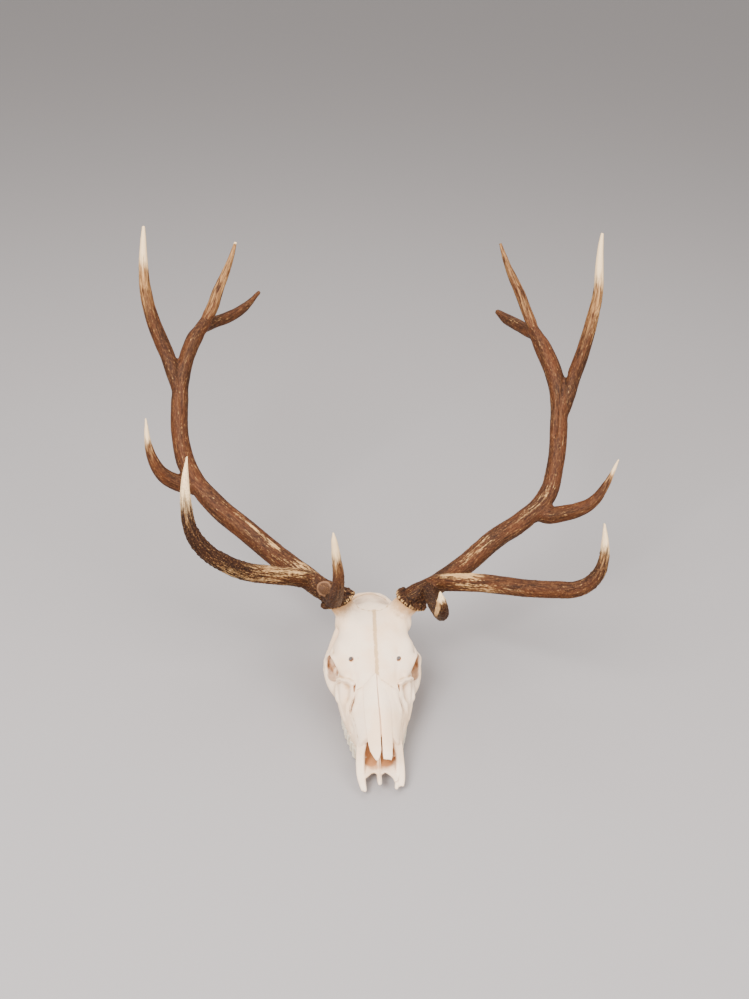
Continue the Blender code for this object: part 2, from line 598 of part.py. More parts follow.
def antler(side_name, branches, profile, parts, cutters):
    """A beam with its burr, and a solid for each tine, cut where it meets what it grows from."""
    beam_points = branches["antler_beam"]
    beam = new_object("antler_beam_" + side_name, curve_mesh("beam", beam_points, profile, 2), parts)
    tine_cutters = [inflated(beam, GAP, cutters, "grown_beam")]
    start = Vector(beam_points[0][:3])
    way = (Vector(beam_points[1][:3]) - start).normalized()
    across = way.orthogonal().normalized()
    bm = bmesh.new()
    bmesh.ops.create_cone(bm, cap_ends=True, segments=20, radius1=BURR_RADIUS * 0.86 * MM,
                          radius2=BURR_RADIUS * 0.80 * MM, depth=BURR_THICKNESS * MM,
                          matrix=Matrix.Translation(scene_point(start + way * BURR_MIDDLE)) @ axis_turn(way))
    additions = [cutter_object(bm, "burr_disc", cutters)]
    for i in range(PEARLS):
        spoke = Matrix.Rotation(2 * math.pi * i / PEARLS, 3, way) @ across
        size = 5.4 + 1.5 * math.sin(i * 2.4)
        centre = start + way * (8.0 + 2.2 * math.cos(i * 1.9)) + spoke * (BURR_RADIUS - size * 0.75)
        bm = bmesh.new()
        bmesh.ops.create_icosphere(bm, subdivisions=1, radius=size * MM,
                                   matrix=Matrix.Translation(scene_point(centre)))
        additions.append(cutter_object(bm, "pearl", cutters))
    for addition in additions:
        boolean(beam, addition, "UNION")
        tine_cutters.append(inflated(addition, GAP, cutters, "grown_burr"))
    made = {"antler_beam": beam}
    wholes = {}
    for name, points in branches.items():
        if name == "antler_beam":
            continue
        tine = new_object(name + "_" + side_name, curve_mesh(name, points, profile, 2), parts)
        whole = inflated(tine, GAP, cutters, "grown_" + name)
        near_burr = name in ("brow_tine", "bez_tine")
        meets = tine_cutters if near_burr else tine_cutters[:1]
        if name in SPLITS_FROM:
            meets = meets + [wholes[SPLITS_FROM[name]]]
        for cutter in meets:
            boolean(tine, cutter, solver="MANIFOLD")
        wholes[name] = whole
        made[name] = tine
    return made


def stalk_cut(skull, branches, cutters):
    """The flat top of a horn stalk, a hair below the burr."""
    start = Vector(branches["antler_beam"][0][:3])
    way = (Vector(branches["antler_beam"][1][:3]) - start).normalized()
    bm = bmesh.new()
    add_cylinder(bm, start - way * GAP, way, STALK_CUT_RADIUS, STALK_CUT_LENGTH, segments=24)
    boolean(skull, cutter_object(bm, "stalk_top", cutters))


def keep_largest(obj):
    """Only the largest loose body of a mesh, so a sliver that a cut leaves goes."""
    bm = bmesh.new()
    bm.from_mesh(obj.data)
    waiting = set(bm.verts)
    groups = []
    while waiting:
        first = waiting.pop()
        group = {first}
        edge = [first]
        while edge:
            vert = edge.pop()
            for link in vert.link_edges:
                other = link.other_vert(vert)
                if other in waiting:
                    waiting.discard(other)
                    group.add(other)
                    edge.append(other)
        groups.append(group)
    groups.sort(key=len)
    spare = [vert for group in groups[:-1] for vert in group]
    bmesh.ops.delete(bm, geom=spare, context="VERTS")
    bm.to_mesh(obj.data)
    bm.free()


def main():
    for old in list(bpy.data.objects):
        bpy.data.objects.remove(old)
    parts = bpy.data.collections.new("elk_skull")
    cutters = bpy.data.collections.new("cutters")
    bpy.context.scene.collection.children.link(parts)
    bpy.context.scene.collection.children.link(cutters)
    cutters.hide_render = True
    profile = fluted_profile(cutters)

    skull = skull_body(parts)
    skull_openings(skull, cutters)
    fitted = []
    for side, side_name in ((-1, "left"), (1, "right")):
        stations = NASAL_LEFT if side < 0 else NASAL_RIGHT
        bone = nasal("nasal_" + side_name, stations, side, parts)
        bone.data.materials.append(material(bone.name, NASAL_BONE, 0.6))
        fitted.append(bone)
        fork = premaxilla("premaxilla_" + side_name, side, parts)
        fork.data.materials.append(material(fork.name, NASAL_BONE, 0.6))
        boolean(fork, inflated(bone, GAP, cutters, "grown_nasal"))
        fitted.append(fork)
        for name, y, x, length, width in TEETH:
            crown = tooth(name + "_" + side_name, y, x, length, width, side, parts)
            crown.data.materials.append(material(crown.name, ENAMEL, 0.4))
            fitted.append(crown)
        branches = LEFT_BRANCHES if side < 0 else RIGHT_BRANCHES
        stalk_cut(skull, branches, cutters)
        for name, branch in antler(side_name, branches, profile, parts, cutters).items():
            colour = ANTLER_BROWN if name == "antler_beam" else TINE_BROWN
            branch.data.materials.append(material(branch.name, colour, 0.65))
            keep_largest(branch)
    for piece in fitted:
        boolean(skull, inflated(piece, GAP, cutters, "seat_" + piece.name), solver="MANIFOLD")
    keep_largest(skull)
    skull.data.materials.append(material("skull", BONE, 0.65))


main()
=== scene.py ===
"""Looks of the elk skull: bleached bone, cheek teeth and two six-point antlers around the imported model.

Lists of places are in millimetres in the skull's own frame: X to the viewer's right, Y back from
the tip of the snout, Z up from the plane that the teeth stand on. Finished meshes are in metres,
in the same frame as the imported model.
"""
import math

import bmesh
import bpy
import numpy as np
from bpy.props import FloatProperty, FloatVectorProperty, IntProperty, PointerProperty
from mathutils import Matrix, Vector, noise
from mathutils.bvhtree import BVHTree


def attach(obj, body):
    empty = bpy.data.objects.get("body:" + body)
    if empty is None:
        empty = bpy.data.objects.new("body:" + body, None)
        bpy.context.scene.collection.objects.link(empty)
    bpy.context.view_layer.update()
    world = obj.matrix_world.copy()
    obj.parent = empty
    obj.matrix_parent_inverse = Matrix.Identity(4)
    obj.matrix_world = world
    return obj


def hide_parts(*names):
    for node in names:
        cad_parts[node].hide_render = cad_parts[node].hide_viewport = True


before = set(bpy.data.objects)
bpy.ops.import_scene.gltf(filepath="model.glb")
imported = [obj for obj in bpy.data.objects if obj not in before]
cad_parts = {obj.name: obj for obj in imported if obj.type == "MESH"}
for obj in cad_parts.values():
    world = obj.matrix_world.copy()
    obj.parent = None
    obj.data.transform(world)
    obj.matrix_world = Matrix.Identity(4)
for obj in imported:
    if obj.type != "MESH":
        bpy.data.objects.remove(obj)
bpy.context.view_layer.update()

bl_info = {
    "name": "Elk skull",
    "version": (1, 0, 0),
    "blender": (4, 5, 0),
    "location": "View3D > Sidebar > Elk skull",
    "description": "Bleached elk skull with two six-point antlers",
    "category": "Object",
}

MM = 0.001
ORIGIN_X = 11.3               # middle of the whole object across, in the skull's frame
ORIGIN_Y = 482.8              # middle of the whole object front to back
SIDES = ((-1, "left"), (1, "right"))

# The camera stands as the photograph's did against the skull, which is level here and leaned there
CAMERA_SENSOR = 36.0
CAMERA_LENS = 43.099
CAMERA_PLACE = (-163.2, -1469.9, 1501.5)
CAMERA_RIGHT = (0.997185, -0.065258, 0.036921)
CAMERA_UP = (0.002486, 0.520928, 0.853597)
CAMERA_BACK = (-0.074938, -0.851102, 0.519624)

# The stage, in metres
FLOOR_HALF = 60.0
LIGHT_TARGET = (0.0, -0.1, 0.3)
# Soft lights: name, place and width
LIGHTS = (("key", (-1.6, -2.4, 2.9), 1.8), ("fill", (1.9, -2.2, 1.7), 1.6), ("top", (0.1, 0.5, 3.0), 2.2))

ORBIT_CENTRE = (72, 246, 92)
ORBIT_AXIS = (0.86, -0.42, 0.28)
ORBIT_RADIUS = 29.2
ORBIT_RIM = 3.3
RIM_POINTS = 24
ORBIT_OPENING = 27.6          # radius of the socket inside its rim
HOLE_START = (43.5, 199, 143.2)   # above the round hole over each eye
HOLE_AXIS = (0.0, 0.853, -0.522)
HOLE_RADIUS = 4.8
HOLE_LENGTH = 190.0
ORBIT_SINK = 12.0             # how far the socket's middle lies inward of its rim
ORBIT_DEPTH = 36.0
ORBIT_CUTS = ((ORBIT_OPENING, 0), (29.5, 15))   # radius of each cut, and how much further in it starts
FORAMEN_RADIUS = 15.5
TEMPLE = ((72, 312, 96), (14, 25, 24))   # middle and half sizes
STALK_TOP_RADIUS = 21.0
STALK_CUT_RADIUS = 38.0
STALK_CUT_LENGTH = 60.0
SLIT_DEPTHS = (0.2, 2.2, 4.4)
BURR_RADIUS = 32.0
BURR_SHARES = {"left": 1.0, "right": 0.96}     # width of each one's rings of pearls
BURR_MIDDLE = 8.5             # along the antler from its foot
BURR_HALF_THICKNESS = 7.5
PEARL_RINGS = ((7.0, 0.90, 5.4), (12.5, 0.78, 4.0), (3.4, 0.78, 4.4))   # height, share of the radius, size

# Sections of the face and braincase: y, lowest z, highest z, half width low, midway and high, squareness
HEAD_SECTIONS = [
    (76, 22, 82, 34, 37, 23, 3.0),
    (90, 21, 88, 37, 40, 25, 3.0),
    (112, 17, 97, 44, 46, 26, 3.2),
    (140, 15, 107, 51, 54, 29, 3.2),
    (168, 14, 117, 57, 63, 36, 3.2),
    (196, 14, 126, 60, 69, 48, 3.2),
    (222, 16, 134, 58, 69, 62, 3.0),
    (246, 26, 142, 44, 60, 75, 3.0),
    (268, 44, 150, 30, 46, 75, 2.9),
    (290, 50, 158, 26, 42, 67, 2.9),
    (312, 48, 166, 34, 46, 66, 2.7),
    (336, 44, 169, 44, 52, 62, 2.3),
    (360, 41, 158, 50, 54, 48, 2.1),
    (392, 39, 147, 50, 52, 40, 2.1),
    (418, 37, 136, 46, 46, 32, 2.2),
    (434, 42, 117, 36, 34, 20, 2.3),
]
NASAL_CAVITY = [
    (60, 10, 69, 25, 25, 20, 2.4),
    (84, 24, 78, 27, 29, 21, 2.4),
    (100, 32, 84, 25, 27, 20, 2.4),
    (140, 36, 97, 26, 27, 20, 2.4),
    (176, 40, 104, 24, 24, 16, 2.2),
    (200, 46, 92, 12, 12, 8, 2.0),
]
SKULL_BASE = [
    (300, 38, 62, 16, 19, 20, 2.4),
    (340, 36, 60, 18, 22, 26, 2.4),
    (385, 32, 60, 22, 28, 34, 2.4),
    (425, 26, 60, 22, 28, 32, 2.4),
]
# One nasal bone: y, inner x, outer x, top z on the midline, how far its outer edge drops
NASAL_LEFT = [
    (31, 4.4, 9.0, 65.0, 1.0),
    (38, 1.6, 13.0, 68.5, 2.0),
    (48, -0.9, 17.5, 73, 4.0),
    (70, -0.9, 21.0, 82, 6.5),
    (105, -0.6, 23.0, 96.5, 8.5),
    (145, 0.2, 24.5, 111, 9.0),
    (168, 0.2, 23.5, 118, 8.0),
    (187, 0.2, 3.0, 124, 0.5),
]
NASAL_RIGHT = [
    (34, 4.2, 18.6, 66.0, 3.5),
    (42, 3.1, 20.6, 70, 4.5),
    (70, 3.1, 22.5, 82, 7.0),
    (105, 2.2, 23.5, 96.5, 8.5),
    (145, 0.2, 24.5, 111, 9.0),
    (168, 0.2, 23.5, 118, 8.0),
    (187, 0.2, 3.0, 124, 0.5),
]
NASAL_THICKNESS = 4.5
NASAL_INSET = 0.4             # room for the skin that the remesh adds
NASAL_GAP = 0.1
NASAL_RAGGED = 6.0            # length of the ragged tip

# Tubes of bone, right side: points with a radius each
CHEEK_ARCH = [(62, 205, 58, 10), (73, 228, 62, 11), (82, 258, 64, 9), (83, 290, 66, 7.4), (76, 325, 68, 6.8),
              (65, 358, 74, 7.8), (52, 388, 82, 10)]
EYE_BAR = [(81, 264, 105, 4.8), (87, 274, 88, 4.6), (86, 273, 66, 5.2)]
BROW_RIDGE = [(50, 203, 108, 9), (62, 222, 111, 8.5), (71, 240, 116, 7), (76, 257, 111, 6),
              (66, 280, 119, 7.5), (55, 298, 136, 10.5), (52, 316, 144, 16)]
NUCHAL_CREST = [(0, 428, 124, 6), (26, 428, 118, 6), (44, 424, 103, 6), (56, 416, 84, 7), (60, 406, 66, 6)]
# The antler stalks: points with a radius each, the left one closer to the middle
HORN_STALKS = {"left": [(43, 318, 140, 26), (47, 333, 152, 23)],
               "right": [(47, 318, 140, 27), (51, 332, 153, 25)]}
SIDE_PROCESS = [(44, 404, 58, 9), (45, 410, 38, 7.5), (42, 414, 18, 6), (39, 415, 5, 5)]
PTERYGOID = [(20, 258, 34, 5), (19, 285, 30, 4.5), (18, 312, 34, 4.5), (17, 335, 46, 5)]
# Rounded lumps of the head, right side: middle and half sizes
SKULL_LUMPS = [
    ((22, 431, 19), (13, 15, 19)), ((27, 424, 38), (14, 16, 16)), ((34, 386, 36), (11, 17, 14)),
    ((66, 218, 66), (9, 36, 13)), ((52, 268, 127), (23, 30, 15)), ((54, 392, 76), (12, 20, 14)),
    ((66, 271, 52), (16, 20, 15)), ((75, 284, 80), (9, 9, 20)),
]
# The bar up each side of the nose as a band between two lines: x, y, z and radius, away from the middle
PREMAXILLA_BANDS = {
    "left": ([(31.5, 14.5, 13.5, 2.6), (34.2, 25, 17, 3.4), (36.3, 36, 21, 3.8), (37, 52, 28, 4.0),
              (36.5, 70, 41, 4.0), (35, 86, 54, 3.8), (31, 104, 70, 3.2)],
             [(27.6, 12.8, 14, 3.4), (28.6, 24, 18.5, 3.4), (29.3, 36, 24, 3.5), (29.8, 52, 33, 3.6),
              (29, 66, 45, 3.6), (25.5, 78, 57, 3.4), (24, 94, 70, 3.0)]),
    "right": ([(38.2, 21, 15.5, 2.4), (39.0, 30, 19, 3.4), (39.6, 42, 23, 3.8), (39.6, 56, 30, 4.0),
               (38.6, 72, 42, 4.0), (36, 88, 56, 3.8), (31, 104, 71, 3.2)],
              [(27.2, 17.2, 14, 3.4), (28.6, 27, 18.5, 3.5), (30.5, 38, 24, 3.5), (31.6, 52, 33, 3.6),
               (31, 66, 45, 3.6), (27, 77, 56, 3.4), (24.5, 94, 70, 3.0)]),
}
# Outline of each one's share of the palate, seen from above: x away from the middle, and y
PREMAXILLA_PLATE = {
    "left": [(0, 104), (0, 41), (5.6, 41.5), (9.5, 44.5), (14, 43), (19, 38), (24.5, 32.5), (27, 30),
             (33, 40), (34, 72), (31, 104)],
    "right": [(0, 104), (0, 41), (5.4, 41), (8.8, 45), (13, 42), (18, 36.5), (21.5, 31), (24, 21), (30, 24),
              (35, 46), (36, 72), (31, 104)],
}
PLATE_FRONT = 42.0
PLATE_HEIGHT = 24.0           # middle of the plate at its front
PLATE_RISE = 0.03
PLATE_THICKNESS = 4.6
BAND_SHARES = (0.0, 0.33, 0.67, 1.0)   # where the tubes of a band lie between its two lines
BAND_NOTCH = 3.5              # how far the end of a band is notched between its lines
MIDDLE_CUTTER = ((-99.8, 60, 50), (0.2, 0.3, 0.3))   # middle in millimetres, sizes in metres
# The middle prong and the ridge that it runs up into, shared by both
PRONG = [(-1.4, 22.4, 19.8, 3.5), (-1.4, 30, 20.6, 4.1), (-1.3, 44, 22.5, 4.2), (-0.9, 58, 29, 3.6),
         (-0.4, 74, 37, 2.8), (0, 98, 42, 2.6)]
VAULT = ((0, 370, 98), (52, 66, 50))   # the braincase from outside: middle and half sizes
# Hollows on the middle line: middle and half sizes
THROAT = ((0, 290, 30), (14, 46, 24))
PALATE = ((0, 155, 9), (34, 84, 16))
FORAMEN = ((0, 420, 46), (FORAMEN_RADIUS, 46, FORAMEN_RADIUS))
BRAINCASE = ((0, 374, 96), (38, 50, 38))
# Slit in front of each eye, right side: points with a radius each
FACE_SLITS = {
    "left": [[(38.6, 182, 108, 1.8), (39, 177, 106, 3.4), (39.6, 171, 103, 3.0), (40.4, 166, 100, 1.2)],
             [(38.6, 160, 98, 0.8), (42, 153, 94, 1.9), (48, 147, 88, 2.5), (50.5, 141, 80, 2.2),
              (51.5, 136, 73, 0.8)]],
    "right": [[(38.6, 182, 108, 1.8), (39, 177, 106, 3.4), (39.6, 171, 103, 2.6), (40.4, 166, 100, 1.0)],
              [(38.6, 160, 98, 0.8), (40.4, 152, 95, 1.7), (43.2, 145, 88, 2.1), (44.6, 137, 78, 1.7),
               (45, 130, 70, 0.8)]],
}
# Small openings for nerves and vessels, right side: place, axis, radius, depth
SMALL_HOLES = [
    ((47, 118, 46), (0.95, -0.3, 0.0), 3.6, 14),
    ((61, 222, 98), (0.6, -0.6, 0.3), 1.8, 12),
    ((31, 226, 128), (0, 0.5, -1), 1.2, 10),
    ((22, 90, 24), (0, 0.3, -1), 2.4, 12),
]

# Cheek teeth of one side: name, middle y, middle x, length, width, lobes
TEETH = [
    ("premolar_2", 107.0, 38.5, 14.5, 13.0, 1),
    ("premolar_3", 123.0, 41.0, 15.5, 15.5, 1),
    ("premolar_4", 139.0, 44.0, 14.5, 17.5, 1),
    ("molar_1", 158.0, 47.5, 21.5, 19.0, 2),
    ("molar_2", 182.5, 50.5, 25.0, 20.0, 2),
    ("molar_3", 208.5, 52.0, 25.0, 19.0, 2),
]
TOOTH_SPLAY = 7.0             # degrees that each row turns out towards the back
CROWN_HEIGHT = 18.0
ROOT_DEPTH = 9.0
CUSP_ROWS = ((-0.72, 0.24, 1.0), (0.30, 0.22, 0.85), (0.85, 0.18, 0.55))   # place across, width, height

# Antlers: x, y, z and radius along each branch. The first point lies inside the piece it grows from.
LEFT_BRANCHES = {
    "antler_beam": [(-61.5, 345.5, 168.6, 21.5), (-66.4, 347.7, 180, 21.5), (-90, 356, 189.5, 21.5),
                    (-118, 387, 192, 22), (-178, 453, 201, 22),
                    (-239, 500, 230, 22), (-300, 548, 260, 21.5), (-348, 592, 303, 19.5),
                    (-369, 636, 359, 17.5), (-371, 676, 415, 18), (-367, 708, 460, 18),
                    (-357, 734, 489, 16), (-343, 768, 515, 16.5), (-325, 799, 534, 15)],
    "brow_tine": [(-86, 362, 184, 13), (-80.5, 336, 190, 14.3), (-75, 295, 208, 14.5), (-72, 240, 268, 12.8),
                  (-72, 203, 331, 11.2), (-77, 194, 373, 8.2), (-81, 194, 405, 5.2), (-83, 196, 421, 1.6)],
    "bez_tine": [(-93, 380, 184, 16.5), (-135, 363, 211, 18), (-187, 331, 241, 17.5), (-233, 305, 267, 17),
                 (-268, 287, 297, 16.2), (-304, 277, 335, 15), (-325, 279, 374, 13), (-332, 292, 417, 10.2),
                 (-333, 309, 452, 7.2), (-330, 334, 488, 1.8)],
    "trez_tine": [(-341, 576, 283, 16.5), (-370, 571, 295, 17.5), (-393, 564, 312, 15.2),
                  (-410, 561, 337, 12), (-423, 567, 375, 8.4), (-428, 587, 430, 1.8)],
    "royal_tine": [(-375, 694, 440, 15), (-383, 708, 470, 16), (-394, 722, 498, 14.8), (-405, 732, 523, 14.8),
                   (-422, 747, 567, 13.2), (-433, 763, 613, 12), (-437, 781, 660, 9.4), (-436, 798, 702, 6.2),
                   (-435, 812, 732, 3.2)],
    "crown_tine": [(-334, 790, 524, 13), (-309, 825, 558, 12.4), (-298, 847, 585, 11.4),
                   (-281, 870, 619, 8.8), (-269, 887, 648, 6.4), (-261.5, 899, 672, 3)],
    "rear_tine": [(-334, 791, 525, 13), (-307, 835, 522, 12.6), (-281, 866, 520, 12.2),
                  (-248, 905, 526, 10.2), (-216, 952.5, 543, 4.2)],
}
RIGHT_BRANCHES = {
    "antler_beam": [(71, 344, 166, 21), (76.5, 345.3, 177, 21), (96.5, 352, 187, 21),
                    (120.5, 365, 191, 20.5), (179, 405, 208, 20.5),
                    (242, 446, 241, 20), (302, 479, 265, 19.5), (349, 510, 298, 19), (369, 548, 345, 17.5),
                    (378, 593, 405, 18), (380, 632, 458, 19), (372, 660, 490, 18), (357, 699, 522, 17.5),
                    (341, 737, 547, 15.5)],
    "brow_tine": [(100, 357, 190, 13), (106, 318, 204, 14), (108, 272, 218, 13.5), (106, 219, 243, 13),
                  (104, 172, 270, 13.3), (101, 141, 298, 12.5), (97, 127, 326, 9), (93, 128, 347, 1.8)],
    "bez_tine": [(113, 361, 200, 16.5), (147, 334, 220, 17.5), (190, 302, 240, 17.5), (232, 269, 257, 17),
                 (273, 240, 271, 16.5), (313, 214, 287, 15.8), (348, 196, 303, 14.8), (372, 193, 328, 12.5),
                 (383, 199, 358, 9.5), (385, 212, 386, 6.8), (385, 233, 414, 1.8)],
    "trez_tine": [(322, 494, 269, 14.5), (352, 483, 272, 18), (378, 469, 285, 16.5), (401, 456, 301, 14.5),
                  (425, 449, 323, 11.5), (447, 453, 360, 7.6), (468, 467, 407, 1.8)],
    "royal_tine": [(388, 612, 430, 14), (397, 630, 462, 15.5), (407, 644, 494, 14.6), (416, 651, 522, 14.4),
                   (424, 658, 550, 13.4), (436, 673, 599, 12.2), (445, 690, 652, 9.8), (446, 710, 702, 7.8),
                   (447, 723, 735, 5.4), (449, 732, 758, 3)],
    "crown_tine": [(345, 730, 541, 13), (328, 770, 576, 11.6), (315, 797, 606, 11), (300, 819, 634, 9.4),
                   (286, 839, 664, 6.6), (275.5, 856, 692, 3)],
    "rear_tine": [(345, 730, 542, 13), (331, 776, 536, 13), (319, 809, 533, 13.2), (303, 845, 531, 11.8),
                  (287, 881, 533, 5.5)],
}
BRANCHES = {"left": LEFT_BRANCHES, "right": RIGHT_BRANCHES}
# Lengths from its tip over which a tine is ivory, and over which it is tan, and how tan it gets at most
TIPS = {
    "left": {"brow_tine": (62, 96), "bez_tine": (100, 128), "trez_tine": (58, 90), "royal_tine": (95, 200),
             "crown_tine": (6, 215, 0.45)},
    "right": {"brow_tine": (20, 30), "bez_tine": (58, 90), "trez_tine": (36, 62), "royal_tine": (120, 240),
              "crown_tine": (1, 220, 0.33)},
}
# How rough and dark each branch is: distance along it, and the roughness
ROUGHNESS = {
    "left": {
        "antler_beam": [(0, 0.9), (40, 0.8), (85, 0.3), (700, 0.15), (1000, 0.1)],
        "brow_tine": [(0, 0.9), (110, 0.8), (200, 0.6), (260, 0.2)],
        "bez_tine": [(0, 0.5), (130, 0.5), (230, 1.0), (420, 0.95), (520, 0.3)],
    },
    "right": {
        "antler_beam": [(0, 0.8), (45, 0.6), (100, 0.4), (350, 0.35), (600, 0.15)],
        "brow_tine": [(0, 1.0), (300, 0.9)],
        "bez_tine": [(0, 0.4), (150, 0.3), (230, 0.4), (320, 0.6), (420, 0.75), (500, 0.4)],
    },
}
PLAIN_ROUGHNESS = [(0, 0.15), (500, 0.1)]
# Grooves where two branches grow together below a fork: points, radius and depth
FORK_GROOVES = {
    "left": ([(-375, 715, 488), (-371.7, 695, 469), (-368.4, 675, 446), (-366, 655, 423)], 7.0, 2.2),
    "right": ([(393, 650, 495), (386, 640, 478), (378.4, 618, 456), (374.6, 600, 432),
               (369.4, 575, 401)], 8.0, 3.2),
}
# Cream patches, partly real wear and partly painted highlight: side, branch, start and end along it, the way
# they face or None for all round, how narrow the patch is, and how strong
RUBBED_AND_HIGHLIGHTS = [
    ("left", "antler_beam", 45, 130, (-0.1, -0.45, 0.85), 0.30, 0.50),
    ("left", "antler_beam", 115, 225, (0.25, -0.42, 0.88), 0.93, 0.80),
    ("left", "antler_beam", 190, 320, (0.35, -0.35, 0.87), 0.97, 0.62),
    ("left", "antler_beam", 90, 240, (-0.3, -0.85, 0.4), 0.60, 0.20),
    ("left", "bez_tine", 10, 210, (-0.1, -0.45, 0.85), 0.35, 0.60),
    ("left", "bez_tine", 60, 280, (-0.1, -0.95, 0.1), 0.55, 0.45),
    ("right", "bez_tine", 5, 135, (0.1, -0.25, 0.95), 0.60, 1.0),
    ("right", "bez_tine", 50, 190, (0.1, -0.90, 0.15), 0.45, 0.62),
    ("right", "bez_tine", 360, 540, (0.95, -0.25, 0.1), 0.45, 1.0),
    ("right", "antler_beam", 110, 240, (-0.2, -0.50, 0.84), 0.86, 0.42),
    ("right", "antler_beam", 230, 420, (-0.2, -0.50, 0.84), 0.88, 0.26),
    ("right", "brow_tine", 215, 330, (-0.95, -0.15, 0.25), 0.30, 1.2),
    ("left", "royal_tine", 150, 340, (-0.6, -0.6, 0.3), 0.1, 0.30),
    ("right", "royal_tine", 120, 340, (0.6, -0.8, 0.0), 0.5, 0.42),
    ("left", "antler_beam", 800, 920, (-0.7, -0.7, 0.0), 0.5, 0.40),
]
SCAR = ((-90.5, 340, 203), 12.5)   # middle and radius of the round scar on the left beam
SCAR_REACH = 25.0             # how far it goes in depth
# Feature sizes of an antler's relief: two ways round the branch, and along it
GROOVE_GRAIN = (5.2, 5.2, 60.0)
SWELL_GRAIN = (11.0, 11.0, 110.0)
LUMP_GRAIN = (3.2, 3.2, 4.2)
LUMP_HEIGHT = 1.9
BRANCH_REACH = 45.0           # how far from its line a branch can own the surface
BRANCH_SPREAD = 90.0          # keeps the grain of one branch away from the next one's
CROTCH_WIDTH = 8.0
CROTCH_ROUNDS = 140

# Seams between the bones of the skull, right side, and how dark each is
SEAMS = [
    ([(1.3, 181, 122), (12.6, 174.6, 118.5), (24.8, 167.5, 112.7), (36, 166, 107)], 0.45),
    ([(47, 137, 77), (43, 118, 74), (40, 96, 66), (36, 70, 58)], 0.35),
    ([(59, 199, 101), (72, 210, 84), (74, 216, 62)], 0.3),
    ([(0, 320, 167), (14, 322, 166), (28, 331, 164), (36, 344, 158)], 0.55),
    ([(0, 405, 140), (12, 410, 137), (24, 416, 130), (33, 421, 117)], 0.6),
    ([(34, 352, 156), (48, 366, 130), (52, 372, 96)], 0.4),
    ([(0, 100, 27), (18, 102, 27), (34, 106, 28)], 0.4),
]
MIDDLE_SEAM = ([(3, 322, 167), (3.0, 315, 166), (2.2, 298, 161), (1.6, 268, 150), (1.8, 237, 139),
                (1.8, 207, 129), (0.6, 181, 122)], 1.1)
# Painted shade on the back of the braincase, which faces away from the lights, and beside the lower slit
# before each eye: points, radius and strength
SKULL_SHADES = [
    ([(-26, 412, 124), (0, 416, 134), (26, 412, 124)], 26.0, 0.5),
    ([(-20, 376, 148), (20, 376, 148)], 44.0, 0.42),
    ([(-46, 152, 92), (-52, 140, 78)], 7.0, 0.35), ([(46, 152, 92), (50, 140, 78)], 7.0, 0.35),
]
# Painted shade in pairs, right side, with the same columns: deep in the nose, where it also stands for the
# bone's own orange-tan, along each temple line and before each eye
PAIRED_SHADES = [
    ([(14, 84, 30), (14, 130, 36)], 24.0, 1.0),
    ([(24, 100, 60), (24, 140, 66)], 22.0, 0.9),
    ([(70, 312, 140), (74, 288, 122)], 9.0, 0.4),
    ([(52, 181, 96), (46, 173, 100)], 8.0, 0.5),
]
OCCLUSION_SHADE_SHARE = 0.62          # how strongly painted shade darkens a place that the bone's own walls hide from the light
OCCLUSION_SHADE_REACH = {"skull": 60.0, "nasal": 25.0, "premaxilla": 30.0}   # how far off a wall still casts painted shade
# Painted shade deep in the nose, on the premaxillae, also standing for the bone's own orange-tan there:
# points, radius and strength
NOSE_SHADES = [
    ([(-14, 66, 28), (-13, 92, 28)], 18.0, 1.0), ([(14, 66, 28), (13, 92, 28)], 18.0, 1.0),
    ([(-25, 74, 44), (-22, 90, 56)], 13.0, 0.9), ([(26, 74, 44), (22, 90, 56)], 13.0, 0.9),
    ([(-14, 54, 27), (14, 54, 27)], 10.0, 0.6), ([(18, 76, 26), (18, 92, 26)], 17.0, 1.0),
    ([(30, 76, 30), (29, 84, 34)], 9.0, 0.8),
]
STAIN_REACH = 30.0            # how far below the burr the stalk is stained
SEAM_WIDTH = 2.6
EVEN_ROUNDS = 160
# Places of the face that are smoothed flat, right side: points and radius
EVEN_SPOTS = [
    ([(22, 316, 164), (24, 262, 148), (22, 205, 128)], 44.0),
    ([(56, 300, 150), (64, 262, 136), (56, 222, 122)], 26.0),
    ([(26, 150, 104), (24, 110, 92)], 26.0),
]
# Ridges and dips of the bone, right side: points, radius and height
BONE_STROKES = [
    ([(64, 210, 92), (60, 203, 99), (53, 192, 104), (43, 180, 108)], 6.5, 5.6),
    ([(55, 184, 94), (56, 172, 84)], 16.0, -8.5),
    ([(48, 152, 92), (53, 142, 80)], 9.0, -2.6),
    ([(52, 172, 92), (54, 158, 80), (56, 146, 66)], 4.0, 1.4),
    ([(34, 160, 105), (38, 148, 97), (42, 138, 84)], 8.0, 1.2),
    ([(66, 212, 76), (63, 190, 66), (60, 168, 60), (55, 150, 52)], 7.0, 2.0),
    ([(43, 112, 60), (46, 122, 62)], 8.0, -1.4),
    ([(43.5, 212, 131), (41, 196, 127), (38, 184, 120)], 7.0, -0.9),
    ([(43.5, 230, 138), (44, 244, 142)], 6.0, -0.7),
    ([(3, 310, 165), (2, 270, 151), (2, 230, 137)], 6.0, 0.5),
    ([(20, 400, 140), (34, 392, 128), (46, 380, 112)], 6.0, 1.3),
    ([(0, 436, 104), (0, 438, 84), (0, 438, 70)], 6.0, 2.2),
    ([(20, 437, 96), (22, 438, 78)], 12.0, -2.6),
    ([(40, 196, 27), (38, 170, 26), (32, 130, 25)], 6.0, -1.0),
    ([(86, 274, 64), (84, 296, 66), (79, 322, 68)], 5.0, 1.0),
]


def scene_point(point):
    """A place in the skull's frame, in millimetres, as a place in the scene, in metres."""
    return Vector(((point[0] - ORIGIN_X) * MM, (point[1] - ORIGIN_Y) * MM, point[2] * MM))


